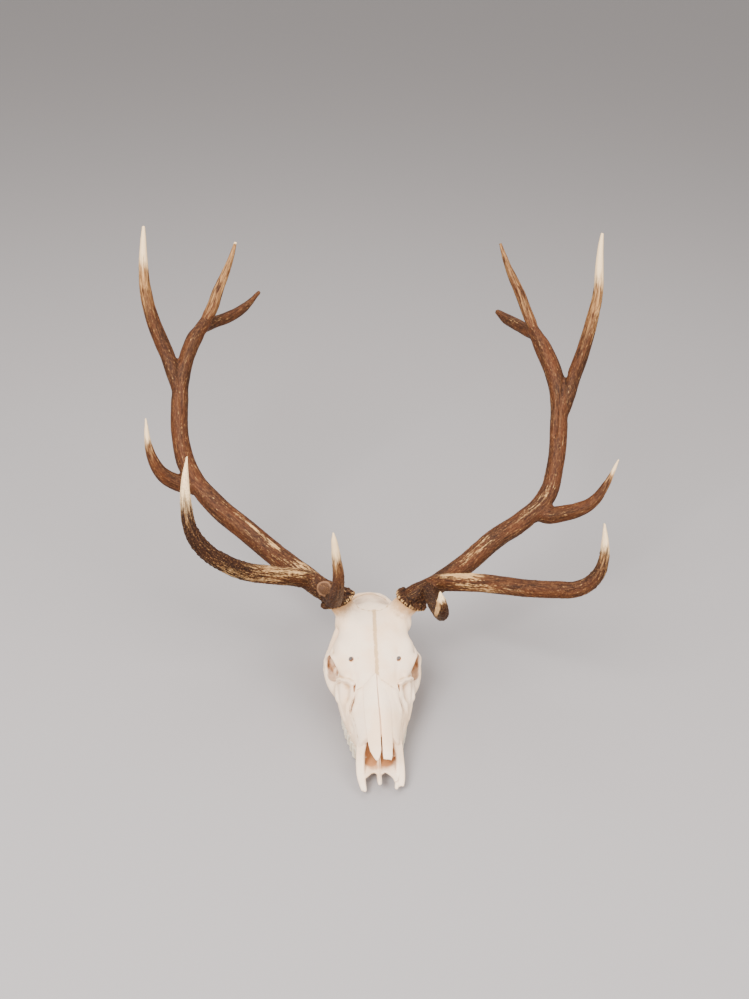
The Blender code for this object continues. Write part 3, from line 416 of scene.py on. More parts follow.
def on_side(point, side):
    """A point of the right side as it lies on the side asked for."""
    return (point[0] * side, *point[1:])


def mirrored(points, side):
    """The right side's points as they lie on the side asked for."""
    return [on_side(point, side) for point in points]


def both_sides(items):
    """Strokes of the right side, with the same strokes on the left."""
    return [(mirrored(item[0], side), *item[1:]) for item in items for side in (-1, 1)]


def beam_foot(name):
    """The middle of an antler's foot, and the way that its beam leaves it."""
    start, ahead = (Vector(point[:3]) for point in BRANCHES[name]["antler_beam"][:2])
    return start, (ahead - start).normalized()


def axis_turn(axis):
    """The rotation that lays Z along an axis."""
    return Vector(axis).to_track_quat("Z", "Y").to_matrix().to_4x4()


# Shader maths

class Value:
    """A number socket: each operator adds the Math node that works it out."""

    def __init__(self, paint, socket):
        self.paint = paint
        self.socket = socket

    def maths(self, operation, *terms):
        sockets = dict(enumerate(terms))
        return self.paint.node("ShaderNodeMath", {"operation": operation}, sockets)

    def __add__(self, other):
        return self.maths("ADD", self, other)

    __radd__ = __add__

    def __sub__(self, other):
        return self.maths("SUBTRACT", self, other)

    def __rsub__(self, other):
        return self.maths("SUBTRACT", other, self)

    def __mul__(self, other):
        return self.maths("MULTIPLY", self, other)

    __rmul__ = __mul__

    def fade(self, start, end):
        """Nought below start and one past end, with soft ends."""
        settings = {"interpolation_type": "SMOOTHSTEP", "clamp": True}
        return self.paint.node("ShaderNodeMapRange", settings, {0: self, 1: start, 2: end})


class Paint:
    """One material's nodes."""

    def __init__(self, name):
        self.material = bpy.data.materials.new(name)
        self.material.use_nodes = True
        self.tree = self.material.node_tree
        self.shader = self.tree.nodes["Principled BSDF"]

    def connect(self, socket, value):
        """Sets a socket to a number or colour, or links a value to it."""
        if isinstance(value, Value):
            self.tree.links.new(value.socket, socket)
        else:
            socket.default_value = value

    def node(self, kind, settings, sockets, output=0):
        """A node of any kind, with its settings first and then its sockets."""
        made = self.tree.nodes.new(kind)
        for name, setting in settings.items():
            setattr(made, name, setting)
        for key, value in sockets.items():
            self.connect(made.inputs[key], value)
        return Value(self, made.outputs[output])

    def attribute(self, name, output="Fac"):
        return self.node("ShaderNodeAttribute", {"attribute_name": name}, {}, output)

    def place(self):
        return self.node("ShaderNodeTexCoord", {}, {}, "Object")

    def grain(self, vector, scale, detail=4.0, roughness=0.55):
        """Soft noise of a scale, per metre."""
        sockets = {"Vector": vector, "Scale": scale, "Detail": detail, "Roughness": roughness}
        return self.node("ShaderNodeTexNoise", {}, sockets)

    def streaks(self, vector, squeeze, scale, detail=4.0, roughness=0.55):
        """The same noise drawn out along Z."""
        sockets = {0: vector, 1: (1.0, 1.0, squeeze)}
        drawn = self.node("ShaderNodeVectorMath", {"operation": "MULTIPLY"}, sockets)
        return self.grain(drawn, scale, detail, roughness)

    def voronoi(self, vector, scale):
        """Distance to the nearest of many scattered points."""
        return self.node("ShaderNodeTexVoronoi", {}, {"Vector": vector, "Scale": scale})

    def mix(self, factor, first, second):
        """One colour going over to another."""
        colours = {}
        for key, colour in ((6, first), (7, second)):
            colours[key] = colour if isinstance(colour, Value) else (*colour, 1.0)
        return self.node("ShaderNodeMix", {"data_type": "RGBA"}, {0: factor, **colours}, 2)

    def layered(self, colour, *layers):
        """A colour with others laid over it in turn, each by its own share."""
        for share, over in layers:
            colour = self.mix(share, colour, over)
        return colour

    def finish(self, colour, roughness, height, distance, strength):
        """Colour, roughness and fine relief on the shader, and the material that they make."""
        sockets = {"Height": height, "Distance": distance, "Strength": strength}
        self.connect(self.shader.inputs["Base Color"], colour)
        self.connect(self.shader.inputs["Roughness"], roughness)
        self.connect(self.shader.inputs["Normal"], self.node("ShaderNodeBump", {}, sockets))
        return self.material


def bone_material(name, settings):
    """Bleached bone: off-white, mottled, with tan seams and fine pores, and painted shade: tan in the dips,
    and the deep inside colour in sheltered places and along the shade strokes.
    """
    paint = Paint(name)
    place = paint.place()
    cloud = paint.grain(place, 16.0, 3.0)
    mottle = paint.grain(place, 70.0, 5.0, 0.6)
    fine = paint.grain(place, 620.0, 4.0, 0.65)
    pores = paint.voronoi(place, 520.0)
    fields = ("shelter", "seam", "stain", "hollow")
    shelter, seam, stain, hollow = (paint.attribute(field) for field in fields)
    # Share of painted shade, from sheltered places and shade strokes, broken up by the mottling
    deep = (shelter + mottle * 0.5 - 0.25).fade(0.2, 0.90)
    line = (seam + mottle * 0.7 - 0.35).fade(0.12, 0.70)
    speck = (1 - pores.fade(0.0, 0.22)) * mottle.fade(0.5, 0.7)
    colour = paint.layered(
        settings.bone,
        (cloud.fade(0.38, 0.66), settings.bone_warm),
        (mottle.fade(0.56, 0.78) * 0.35, settings.bone_grey),
        # Painted shade: tan in the dips of the bone
        ((hollow + mottle * 0.5 - 0.25).fade(0.08, 0.75) * 0.7, settings.tan),
        ((stain + mottle * 1.0 - 0.5).fade(0.20, 0.95) * 0.9, settings.stalk_stain),
        # Painted shade in the inside colour, which deep in the nose is also the bone's own orange-tan
        (deep * 0.92, settings.inside),
        (line * 0.85, settings.seam),
        (speck * 0.30, settings.tan))
    rough = 0.52 + fine * 0.16 + deep * 0.1
    paint.connect(paint.shader.inputs["Specular IOR Level"], 0.35)
    return paint.finish(colour, rough, fine * 0.5 + mottle * 0.7 - speck * 0.8 - line * 0.8, 0.0009, 0.5)


def enamel_material(name, settings):
    """Cheek teeth: cream enamel with upright streaks, and brown in the folds and along the gum."""
    paint = Paint(name)
    place = paint.place()
    streak = paint.streaks(place, 0.16, 420.0, 4.0, 0.6)
    mottle = paint.grain(place, 150.0, 4.0)
    brown = (paint.attribute("fold") + (mottle - 0.5) * 0.5).fade(0.35, 0.95)
    colour = paint.layered(settings.enamel, (streak.fade(0.4, 0.66), settings.enamel_dark),
                           (brown * 0.9, settings.tooth_stain))
    rough = 0.28 + streak * 0.15 + brown * 0.3
    return paint.finish(colour, rough, streak * 0.6 + mottle * 0.4, 0.0006, 0.5)


def antler_material(name, settings):
    """Antler: reddish brown with fine lengthways lines, dark low down, cream with wear and painted highlight,
    ivory tips.
    """
    paint = Paint(name)
    along = paint.attribute("grain", "Vector")
    fields = ("tip", "warm", "worn", "rough_zone", "hollow", "scar", "rim")
    tip, warm, worn, rough_zone, hollow, scar, rim = (paint.attribute(field) for field in fields)
    streak = paint.streaks(along, 0.08, 340.0, 5.0, 0.62)
    line = paint.streaks(along, 0.12, 240.0, 3.0, 0.5)
    broad = paint.streaks(along, 0.30, 40.0, 3.0)
    mottle = paint.streaks(along, 0.28, 330.0, 5.0, 0.72)
    fleck = paint.streaks(along, 0.40, 420.0, 2.0, 0.5)
    fine = paint.streaks(along, 0.35, 900.0, 4.0, 0.65)
    grit = paint.voronoi(along, 330.0)
    dark_line = line.fade(0.45, 0.34)
    ridge = (0 - hollow + (streak - 0.5) * 0.8).fade(0.15, 0.85)
    groove = (hollow + (fine - 0.5) * 0.5).fade(0.20, 0.85)
    pearl = (1 - grit.fade(0.10, 0.42)) * rough_zone.fade(0.25, 0.8)
    bead = (rim * (0.30 + ridge * 0.9) + ((mottle - 0.5) * 1.6 - groove) * (0.3 + rim * 0.7)).fade(0.50, 1.15)
    # Cream patches: partly real wear, partly painted highlight
    rubbed_and_highlight = (worn * 1.15 + (streak - 0.5) * 2.7 + (fleck - 0.5) * 1.2 - dark_line * 0.35 - groove * 0.5)
    cream = paint.mix(broad.fade(0.40, 0.64) * 0.8, settings.rubbed_and_highlight, settings.pale)
    tanned = (warm + (streak - 0.5) * 1.8 - dark_line * 0.4).fade(0.05, 0.95)
    polished = (tip + (streak - 0.5) * 0.9).fade(0.02, 0.45)
    colour = paint.layered(
        settings.brown,
        (broad.fade(0.36, 0.64), settings.reddish),
        (mottle.fade(0.48, 0.66) * 0.45, settings.light),
        (mottle.fade(0.48, 0.34) * 0.6, settings.dark),
        (ridge * 0.4, settings.light),
        (dark_line * 0.5, settings.dark),
        (fleck.fade(0.58, 0.72) * (0.20 + ridge * 0.5), settings.tan),
        (rough_zone.fade(0.25, 1.0) * 0.72, settings.dark),
        (pearl * (mottle + fleck * 0.5).fade(0.62, 0.85) * 0.7, settings.tan),
        (groove * (0.35 + rough_zone * 0.45), settings.deep),
        (bead * 0.9, settings.rubbed_and_highlight),
        (rubbed_and_highlight.fade(0.28, 0.95) * 0.9, cream),
        (scar * 0.85, settings.scar),
        (tanned * 0.85, settings.pale),
        (polished * 0.92, settings.ivory))
    rough = 0.55 + fine * 0.12 - polished * 0.22
    coarse = (streak * 0.7 + fine * 0.25 + mottle * 0.5) * (1 - polished * 0.8) + pearl * 1.2
    paint.connect(paint.shader.inputs["Specular IOR Level"], 0.12)
    return paint.finish(colour, rough, coarse, 0.0014, 0.7)


def plain_material(name, colour, roughness):
    """The stage's even finish."""
    paint = Paint(name)
    paint.connect(paint.shader.inputs["Base Color"], (*colour, 1.0))
    paint.connect(paint.shader.inputs["Roughness"], roughness)
    return paint.material


# Mesh tools

def new_object(name, mesh):
    """A mesh as an object of the scene."""
    made = bpy.data.objects.new(name, mesh)
    bpy.context.scene.collection.objects.link(made)
    return made


def mesh_from(bm, name):
    """A mesh of what a bmesh holds, with its faces pointing out."""
    bmesh.ops.remove_doubles(bm, verts=bm.verts, dist=0.000001)
    bmesh.ops.recalc_face_normals(bm, faces=bm.faces)
    made = bpy.data.meshes.new(name)
    bm.to_mesh(made)
    bm.free()
    return made


def ring_edges(ring):
    """The edges of a ring of vertices."""
    members = set(ring)
    return list({edge for vert in ring for edge in vert.link_edges if edge.other_vert(vert) in members})


def add_loft(bm, sections, count=48):
    """A body through rounded sections across the head."""
    rings = []
    for y, low, high, half_low, half_mid, half_high, squareness in sections:
        ring = bmesh.ops.create_circle(bm, cap_ends=False, segments=count, radius=1.0)["verts"]
        middle, reach = (low + high) / 2, (high - low) / 2
        bulge = half_mid - (half_low + half_high) / 2
        for vert in ring:
            angle = math.atan2(vert.co.y, vert.co.x)
            across = math.copysign(abs(math.cos(angle)) ** (2 / squareness), math.cos(angle))
            up = math.copysign(abs(math.sin(angle)) ** (2 / squareness), math.sin(angle))
            half = half_low + (half_high - half_low) * (up + 1) / 2 + bulge * (1 - up * up)
            vert.co = scene_point((across * half, y, middle + up * reach))
        rings.append(ring)
    loops = [ring_edges(ring) for ring in rings]
    for lower, upper in zip(loops, loops[1:]):
        bmesh.ops.bridge_loops(bm, edges=lower + upper)
    bmesh.ops.holes_fill(bm, edges=loops[0] + loops[-1], sides=count)


def add_ellipsoid(bm, centre, radii, turn=None, segments=32):
    """An ellipsoid, added to a bmesh."""
    place = Matrix.Translation(scene_point(centre))
    if turn is not None:
        place = place @ turn
    place = place @ Matrix.Diagonal((radii[0] * MM, radii[1] * MM, radii[2] * MM, 1.0))
    bmesh.ops.create_uvsphere(bm, u_segments=segments, v_segments=segments // 2, radius=1.0, matrix=place)


def add_cylinder(bm, start, axis, radius, length, segments=32):
    """A round bar from a place along an axis, added to a bmesh."""
    way = Vector(axis).normalized()
    middle = scene_point(start) + way * (length / 2 * MM)
    bmesh.ops.create_cone(bm, cap_ends=True, segments=segments, radius1=radius * MM, radius2=radius * MM,
                          depth=length * MM, matrix=Matrix.Translation(middle) @ axis_turn(axis))


def add_curve(bm, points, steps=10):
    """A tapered tube with flat ends through points of x, y, z and radius, added to a bmesh."""
    curve = bpy.data.curves.new("tube", "CURVE")
    curve.dimensions = "3D"
    curve.resolution_u = steps
    curve.use_fill_caps = True
    curve.bevel_depth = MM
    curve.bevel_resolution = 6
    spline = curve.splines.new("BEZIER")
    spline.bezier_points.add(len(points) - 1)
    for knot, point in zip(spline.bezier_points, points):
        knot.co = scene_point(point)
        knot.radius = point[3]
        knot.handle_left_type = "AUTO"
        knot.handle_right_type = "AUTO"
    holder = new_object("tube", curve)
    graph = bpy.context.evaluated_depsgraph_get()
    tube = bpy.data.meshes.new_from_object(holder.evaluated_get(graph))
    bpy.data.objects.remove(holder)
    bpy.data.curves.remove(curve)
    bm.from_mesh(tube)
    bpy.data.meshes.remove(tube)


def add_tube(bm, points):
    """A round tube with rounded ends, added to a bmesh."""
    add_curve(bm, points)
    for end in (points[0], points[-1]):
        add_ellipsoid(bm, end[:3], (end[3],) * 3, segments=20)


def apply_modifiers(obj):
    """The object with its modifiers made part of its mesh."""
    graph = bpy.context.evaluated_depsgraph_get()
    graph.update()
    made = bpy.data.meshes.new_from_object(obj.evaluated_get(graph))
    old = obj.data
    obj.modifiers.clear()
    obj.data = made
    bpy.data.meshes.remove(old)


def fuse(obj, voxel, rounds):
    """Overlapping bodies grown into one smoothed skin."""
    remesh = obj.modifiers.new("remesh", "REMESH")
    remesh.mode = "VOXEL"
    remesh.voxel_size = voxel * MM
    smooth = obj.modifiers.new("smooth", "SMOOTH")
    smooth.factor = 0.5
    smooth.iterations = rounds
    apply_modifiers(obj)


def cut(obj, name, add, *terms):
    """One shape, made by the function that adds it to a bmesh, taken out of an object."""
    bm = bmesh.new()
    add(bm, *terms)
    cutter = new_object(name, mesh_from(bm, name))
    step = obj.modifiers.new("cut", "BOOLEAN")
    step.operation = "DIFFERENCE"
    step.solver = "MANIFOLD"
    step.object = cutter
    apply_modifiers(obj)
    mesh = cutter.data
    bpy.data.objects.remove(cutter)
    bpy.data.meshes.remove(mesh)


def surface_tree(mesh):
    """The faces of a mesh, ready to be searched."""
    corners = [tuple(face.vertices) for face in mesh.polygons]
    return BVHTree.FromPolygons([vert.co for vert in mesh.vertices], corners)


class Skin:
    """The vertices of a mesh as arrays in the skull's frame, for strokes that raise, carve or tint it."""

    def __init__(self, mesh):
        self.mesh = mesh
        self.count = len(mesh.vertices)
        self.read()
        self.tree = surface_tree(mesh)
        links = np.empty(len(mesh.edges) * 2, dtype=np.int64)
        mesh.edges.foreach_get("vertices", links)
        links = links.reshape(-1, 2)
        self.ends = np.concatenate((links[:, 0], links[:, 1]))
        self.others = np.concatenate((links[:, 1], links[:, 0]))
        self.degree = np.maximum(np.bincount(self.ends, minlength=self.count), 1)

    def read(self):
        places = np.empty(self.count * 3)
        self.mesh.vertices.foreach_get("co", places)
        self.places = places.reshape(-1, 3) / MM + (ORIGIN_X, ORIGIN_Y, 0.0)
        normals = np.empty(self.count * 3, dtype=np.float32)
        self.mesh.vertex_normals.foreach_get("vector", normals)
        self.normals = normals.reshape(-1, 3).astype(float)

    def write(self):
        places = (self.places - (ORIGIN_X, ORIGIN_Y, 0.0)) * MM
        self.mesh.vertices.foreach_set("co", places.ravel())
        self.mesh.update()
        self.read()

    def smoothed(self, values, rounds):
        """Values of the vertices, averaged with their neighbours so many times."""
        flat = values.reshape(self.count, -1)
        for _ in range(rounds):
            totals = []
            for column in flat.T:
                totals.append(np.bincount(self.ends, weights=column[self.others], minlength=self.count))
            flat = (flat + np.stack(totals, axis=1) / self.degree[:, None]) / 2
        return flat.reshape(values.shape)

    def weight(self, points, radius):
        """How near each vertex is to a line laid on the surface: one on the line, nought at the radius."""
        spots = []
        for first, second in zip(points, points[1:] if len(points) > 1 else points):
            start, end = Vector(first[:3]), Vector(second[:3])
            pieces = max(1, math.ceil((end - start).length / 5.0))
            for i in range(pieces + 1):
                place, normal, *_ = self.tree.find_nearest(scene_point(start.lerp(end, i / pieces)))
                spots.append((np.array(place) / MM + (ORIGIN_X, ORIGIN_Y, 0.0), np.array(normal)))
        found = np.zeros(self.count)
        for (start, normal), (end, _) in zip(spots, spots[1:]):
            near = np.flatnonzero(np.abs(self.places - (start + end) / 2).max(axis=1) < radius + 6.0)
            if not len(near):
                continue
            span = end - start
            length = max(span @ span, 1e-9)
            share = np.clip(((self.places[near] - start) @ span) / length, 0.0, 1.0)
            away = np.linalg.norm(self.places[near] - start - share[:, None] * span, axis=1)
            here = np.clip(1.0 - (away / radius) ** 2, 0.0, 1.0) ** 2 * (self.normals[near] @ normal > 0.1)
            found[near] = np.maximum(found[near], here)
        return found

    def even(self, share, rounds):
        """Smooths the places of the vertices where a share says so."""
        self.places += (self.smoothed(self.places, rounds) - self.places) * share[:, None]

    def push(self, amount):
        """Every vertex moved out along its normal by its own amount, in millimetres."""
        self.places += self.normals * amount[:, None]

    def hollow(self, rounds, depth):
        """How far each vertex lies below its surroundings: one at the depth given, below nought on ridges."""
        below = ((self.smoothed(self.places, rounds) - self.places) * self.normals).sum(axis=1)
        return np.clip(below / depth, -1, 1)

    def shelter(self, reach):
        """The share of the outward ways that meet the mesh again within a reach, which the bone paints as
        shade.
        """
        tree = surface_tree(self.mesh)
        found = np.zeros(self.count)
        starts = [vert.co.copy() for vert in self.mesh.vertices]
        for i in range(self.count):
            normal = Vector(self.normals[i])
            across = normal.orthogonal().normalized()
            other = normal.cross(across)
            hits = 0
            for turn in range(5):
                angle = 2 * math.pi * turn / 5 + i
                way = normal + (across * math.cos(angle) + other * math.sin(angle)) * 0.9
                if tree.ray_cast(starts[i] + normal * 0.0012, way.normalized(), reach * MM)[0] is not None:
                    hits += 1
            found[i] = hits / 5
        return self.smoothed(found, 3)

    def store(self, **fields):
        """Values of the vertices as attributes that the material reads."""
        for name, values in fields.items():
            kind, part = ("FLOAT", "value") if values.ndim == 1 else ("FLOAT_VECTOR", "vector")
            field = self.mesh.attributes.new(name, kind, "POINT")
            field.data.foreach_set(part, values.ravel().astype(np.float32))


def noise_of(places, sizes):
    """Soft noise at places given in millimetres, with a feature size for each axis."""
    scaled = places / np.array(sizes)
    return np.array([noise.noise(Vector(place)) for place in scaled])


def finish_piece(obj, material, slot, *nodes):
    """The last steps of every piece: smooth shading, its finish, its body and what it stands for."""
    obj.data.materials.clear()
    obj.data.materials.append(material)
    obj.data.shade_smooth()
    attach(obj, "root")
    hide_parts(*nodes)


# The skull

def skull_mass():
    """Face, braincase, arches, eye rims and stalks, all overlapping in one bmesh."""
    bm = bmesh.new()
    add_loft(bm, HEAD_SECTIONS)
    add_ellipsoid(bm, *VAULT)
    for side, name in SIDES:
        for tube in (CHEEK_ARCH, EYE_BAR, BROW_RIDGE, NUCHAL_CREST, SIDE_PROCESS, PTERYGOID):
            add_tube(bm, mirrored(tube, side))
        burr_place = BRANCHES[name]["antler_beam"][0][:3]
        add_tube(bm, mirrored(HORN_STALKS[name], side) + [(*burr_place, STALK_TOP_RADIUS)])
        centre = Vector(on_side(ORBIT_CENTRE, side))
        axis = Vector(on_side(ORBIT_AXIS, side))
        across = axis.orthogonal().normalized()
        rim = []
        for i in range(RIM_POINTS + 1):
            spoke = Matrix.Rotation(2 * math.pi * i / RIM_POINTS, 3, axis) @ across
            rim.append((*(centre + spoke * ORBIT_RADIUS), ORBIT_RIM))
        add_tube(bm, rim)
        for place, sizes in SKULL_LUMPS:
            add_ellipsoid(bm, on_side(place, side), sizes)
    add_loft(bm, SKULL_BASE)
    return bm


def open_skull(skull):
    """The eye sockets, temples, throat, palate, braincase and nose."""
    for side, _ in SIDES:
        axis = Vector(on_side(ORBIT_AXIS, side))
        way = axis.normalized()
        centre = Vector(on_side(ORBIT_CENTRE, side)) - way * ORBIT_SINK
        for radius, sink in ORBIT_CUTS:
            sizes = (radius, radius, ORBIT_DEPTH - sink)
            cut(skull, "orbit", add_ellipsoid, centre - way * sink, sizes, axis_turn(axis))
        cut(skull, "temple", add_ellipsoid, on_side(TEMPLE[0], side), TEMPLE[1])
    for hollow in (THROAT, PALATE, FORAMEN, BRAINCASE):
        cut(skull, "hollow", add_ellipsoid, *hollow)
    cut(skull, "nose", add_loft, NASAL_CAVITY)


def snapped(obj, points, depth):
    """Points laid on the surface of an object and then sunk into it, each with its radius."""
    found = []
    for x, y, z, radius in points:
        _, place, normal, _ = obj.closest_point_on_mesh(scene_point((x, y, z)))
        place = (place - normal * depth * MM) / MM
        found.append((place.x + ORIGIN_X, place.y + ORIGIN_Y, place.z, radius))
    return found


def cut_stalks_and_holes(skull):
    """The flat tops of the stalks, the slit before each eye, and the holes for nerves and over the eyes."""
    for side, name in SIDES:
        slits = []
        for slit in FACE_SLITS[name]:
            slits += [snapped(skull, mirrored(slit, side), depth) for depth in SLIT_DEPTHS]
        for slit in slits:
            cut(skull, "face_slit", add_curve, slit)
        for place, axis, radius, depth in SMALL_HOLES:
            way = Vector(on_side(axis, side)).normalized()
            start = Vector(on_side(place, side)) - way * (depth * 0.5)
            cut(skull, "small_hole", add_cylinder, start, way, radius, depth)
        start, way = beam_foot(name)
        cut(skull, "stalk_top", add_cylinder, start + way * 1.5, way, STALK_CUT_RADIUS, STALK_CUT_LENGTH)
        cut(skull, "brow_hole", add_cylinder, on_side(HOLE_START, side), HOLE_AXIS, HOLE_RADIUS, HOLE_LENGTH)


def paint_bone(mesh, strokes, seams, stains, shades, reach):
    """Strokes of relief on a bone, then its seams and stains, and the painted shade of its strokes, dips and
    sheltered places, as attributes.
    """
    skin = Skin(mesh)
    relief = noise_of(skin.places, (26, 26, 26)) * 0.5 + noise_of(skin.places, (9, 9, 9)) * 0.18
    for points, radius, height in strokes:
        relief += skin.weight(points, radius) * height
    seam = np.zeros(skin.count)
    wander = noise_of(skin.places, (4, 4, 4))
    for points, dark in seams:
        line = skin.weight(points, SEAM_WIDTH + 2.4 * dark ** 2) * (1 + wander * 0.9)
        seam = np.maximum(seam, line * dark)
        relief -= skin.weight(points, SEAM_WIDTH) * dark * 0.7
    stain = np.zeros(skin.count)
    for foot, way in stains:
        away = skin.places - foot
        below = -(away @ way)
        near = np.linalg.norm(away + below[:, None] * way, axis=1) < BURR_RADIUS * 1.4
        stain = np.maximum(stain, np.clip(1.0 - below / STAIN_REACH, 0, 1) * near)
    skin.push(relief)
    skin.write()
    # Painted shade where the bone's own walls would keep light off, joined with the softened shade strokes
    shelter = skin.shelter(reach) * OCCLUSION_SHADE_SHARE
    shade = np.zeros(skin.count)
    for points, radius, strength in shades:
        shade = np.maximum(shade, np.clip(skin.weight(points, radius) * 1.6, 0, 1) * strength)
    shelter = np.maximum(shelter, skin.smoothed(shade, 24))
    skin.store(seam=np.clip(seam, 0, 1), stain=stain, hollow=skin.hollow(14, 1.2), shelter=shelter)


def tint(name, description, *default):
    """A colour that a user can change."""
    return FloatVectorProperty(name=name, description=description, subtype="COLOR", default=default)


def length(name, description, default, low, high):
    """A length that a user can change, in metres."""
    return FloatProperty(name=name, description=description, default=default, min=low, max=high,
                         unit="LENGTH", precision=4)


def power(name, description, default):
    """The power of a light, in watts."""
    return FloatProperty(name=name, description=description, default=default, min=0.0, subtype="POWER")


class BoneSettings(bpy.types.PropertyGroup):
    """Sizes and colours of the skull's bones."""
    voxel: length("Grain of the skull", "Size of the mesh cells of the skull", 0.0018, 0.0012, 0.01)
    thin_voxel: length("Grain of the thin bones", "Size of the mesh cells of the nasal bones and premaxillae",
                       0.0011, 0.0008, 0.01)
    bone: tint("Bone", "Main colour of the bleached bone", 0.97, 0.73, 0.52)
    bone_warm: tint("Warm bone", "Warmer patches", 0.93, 0.64, 0.40)
    bone_grey: tint("Grey bone", "Cooler patches", 0.82, 0.66, 0.50)
    # Tan of the painted shade in the dips, and of the pores
    tan: tint("Tan", "Colour in the dips", 0.58, 0.33, 0.15)
    # Colour of the painted shade in sheltered places, the eye sockets and the back of the braincase; deep in
    # the nose also the bone's own orange-tan
    inside: tint("Inside", "Colour deep in the nose and eye sockets", 0.39, 0.145, 0.038)
    seam: tint("Seams", "Colour along the seams between bones", 0.56, 0.34, 0.16)
    stalk_stain: tint("Stalk stain", "Tint below the antlers", 0.45, 0.225, 0.075)


class AntlerSettings(bpy.types.PropertyGroup):
    """Sizes and colours of the antlers."""
    voxel: length("Grain of the antlers", "Size of the mesh cells of the antlers", 0.0017, 0.0012, 0.01)
    groove_depth: length("Groove depth", "Depth of the lengthways grooves", 0.0013, 0.0, 0.004)
    pearls: IntProperty(name="Pearls", description="Bumps round each burr", default=22, min=8, max=40)
    deep: tint("Grooves", "Colour down in the grooves", 0.0035, 0.0014, 0.0009)
    dark: tint("Dark brown", "Dark streaks and rough places", 0.012, 0.0046, 0.0025)
    brown: tint("Brown", "Main colour", 0.040, 0.0145, 0.0062)
    reddish: tint("Reddish brown", "Warm patches", 0.075, 0.0225, 0.0075)
    light: tint("Light brown", "Mottling and ridges", 0.17, 0.070, 0.026)
    tan: tint("Tan", "Pearls and flecks", 0.36, 0.165, 0.058)
    # Cream of the patches of wear and painted highlight, and of the burr's pearls
    rubbed_and_highlight: tint("Rubbed", "Cream where the antler is worn", 0.62, 0.36, 0.145)
    pale: tint("Pale tan", "Below the polished tips", 0.47, 0.245, 0.09)
    ivory: tint("Tips", "Polished tips", 0.84, 0.585, 0.315)
    scar: tint("Scar", "Round scar on the left beam", 0.25, 0.125, 0.062)


class ToothSettings(bpy.types.PropertyGroup):
    """Shape and colours of the cheek teeth."""
    cusp_height: length("Cusp height", "How far the cusps stand over the folds", 0.0042, 0.001, 0.008)
    enamel: tint("Enamel", "Main colour", 0.74, 0.66, 0.52)
    enamel_dark: tint("Enamel streaks", "Darker upright streaks", 0.58, 0.46, 0.31)
    tooth_stain: tint("Folds", "Brown in the folds and along the gum", 0.16, 0.085, 0.04)


class StageSettings(bpy.types.PropertyGroup):
    """Floor and light."""
    floor: tint("Floor", "Colour of the plain floor", 0.30, 0.275, 0.27)
    key_power: power("Key light", "Power of the large soft light", 320.0)
    fill_power: power("Fill light", "Power of the soft light beside the camera", 90.0)
    top_power: power("Top light", "Power of the soft light overhead", 70.0)
    sky_strength: FloatProperty(name="Even light", description="Strength of the light from all round",
                                default=0.95, min=0.0)


class ELK_OT_skull(bpy.types.Operator):
    """Build the skull: face, braincase, cheek arches, eye sockets and antler stalks in one bone"""
    bl_idname = "elk.skull"
    bl_label = "Skull"

    def execute(self, context):
        settings = context.scene.elk_bone
        voxel = settings.voxel / MM
        skull = new_object("skull_bone", mesh_from(skull_mass(), "skull_bone"))
        fuse(skull, voxel, 8)
        skin = Skin(skull.data)
        for points, radius in both_sides(EVEN_SPOTS):
            skin.even(np.clip(skin.weight(points, radius) * 2.5, 0, 1), EVEN_ROUNDS)
        skin.write()
        open_skull(skull)
        fuse(skull, voxel, 2)
        cut_stalks_and_holes(skull)
        stains = [beam_foot(name) for _, name in SIDES]
        seams = both_sides(SEAMS) + [MIDDLE_SEAM]
        shades = both_sides(PAIRED_SHADES) + SKULL_SHADES
        paint_bone(skull.data, both_sides(BONE_STROKES), seams, stains, shades, OCCLUSION_SHADE_REACH["skull"])
        finish_piece(skull, bone_material("bleached_bone", settings), "skull_bone", "skull")
        return {"FINISHED"}


def station_at(stations, y):
    """The values of a table of stations at one place along it."""
    for first, second in zip(stations, stations[1:]):
        if first[0] <= y <= second[0]:
            share = (y - first[0]) / (second[0] - first[0])
            return [a + (b - a) * share for a, b in zip(first, second)]
    return list(stations[-1])


class ELK_OT_nasal_bones(bpy.types.Operator):
    """Build the two nasal bones as long arched plates with ragged tips"""
    bl_idname = "elk.nasal_bones"
    bl_label = "Nasal bones"

    def execute(self, context):
        settings = context.scene.elk_bone
        material = bone_material("nasal_bone", settings)
        for side, name in SIDES:
            stations = NASAL_LEFT if side < 0 else NASAL_RIGHT
            bm = bmesh.new()
            bmesh.ops.create_grid(bm, x_segments=14, y_segments=90, size=0.5)
            first, last = stations[0][0], stations[-1][0]
            for vert in bm.verts:
                t = vert.co.x + 0.5
                y = first + (last - first) * (vert.co.y + 0.5)
                _, inner, outer, top, drop = station_at(stations, y)
                if y < first + NASAL_RAGGED:
                    y += 1.6 * noise.noise(Vector((t * 5, side * 3, 0))) * (1 - (y - first) / NASAL_RAGGED)
                x = (inner + NASAL_GAP + (outer - inner - NASAL_GAP) * t) * side
                vert.co = scene_point((x, y, top - NASAL_INSET - drop * t * t))
            bmesh.ops.recalc_face_normals(bm, faces=bm.faces)
            bmesh.ops.solidify(bm, geom=bm.faces[:], thickness=(NASAL_THICKNESS - 2 * NASAL_INSET) * MM)
            bone = new_object("nasal_bone_" + name, mesh_from(bm, "nasal_bone_" + name))
            fuse(bone, settings.thin_voxel / MM, 3)
            paint_bone(bone.data, [], [], [], [], OCCLUSION_SHADE_REACH["nasal"])
            finish_piece(bone, material, "thin_bone", "nasal_" + name)
        return {"FINISHED"}


def add_block(bm, centre, sizes):
    """A block with its sizes in metres, added to a bmesh."""
    place = Matrix.Translation(scene_point(centre)) @ Matrix.Diagonal((*sizes, 1.0))
    bmesh.ops.create_cube(bm, size=1.0, matrix=place)


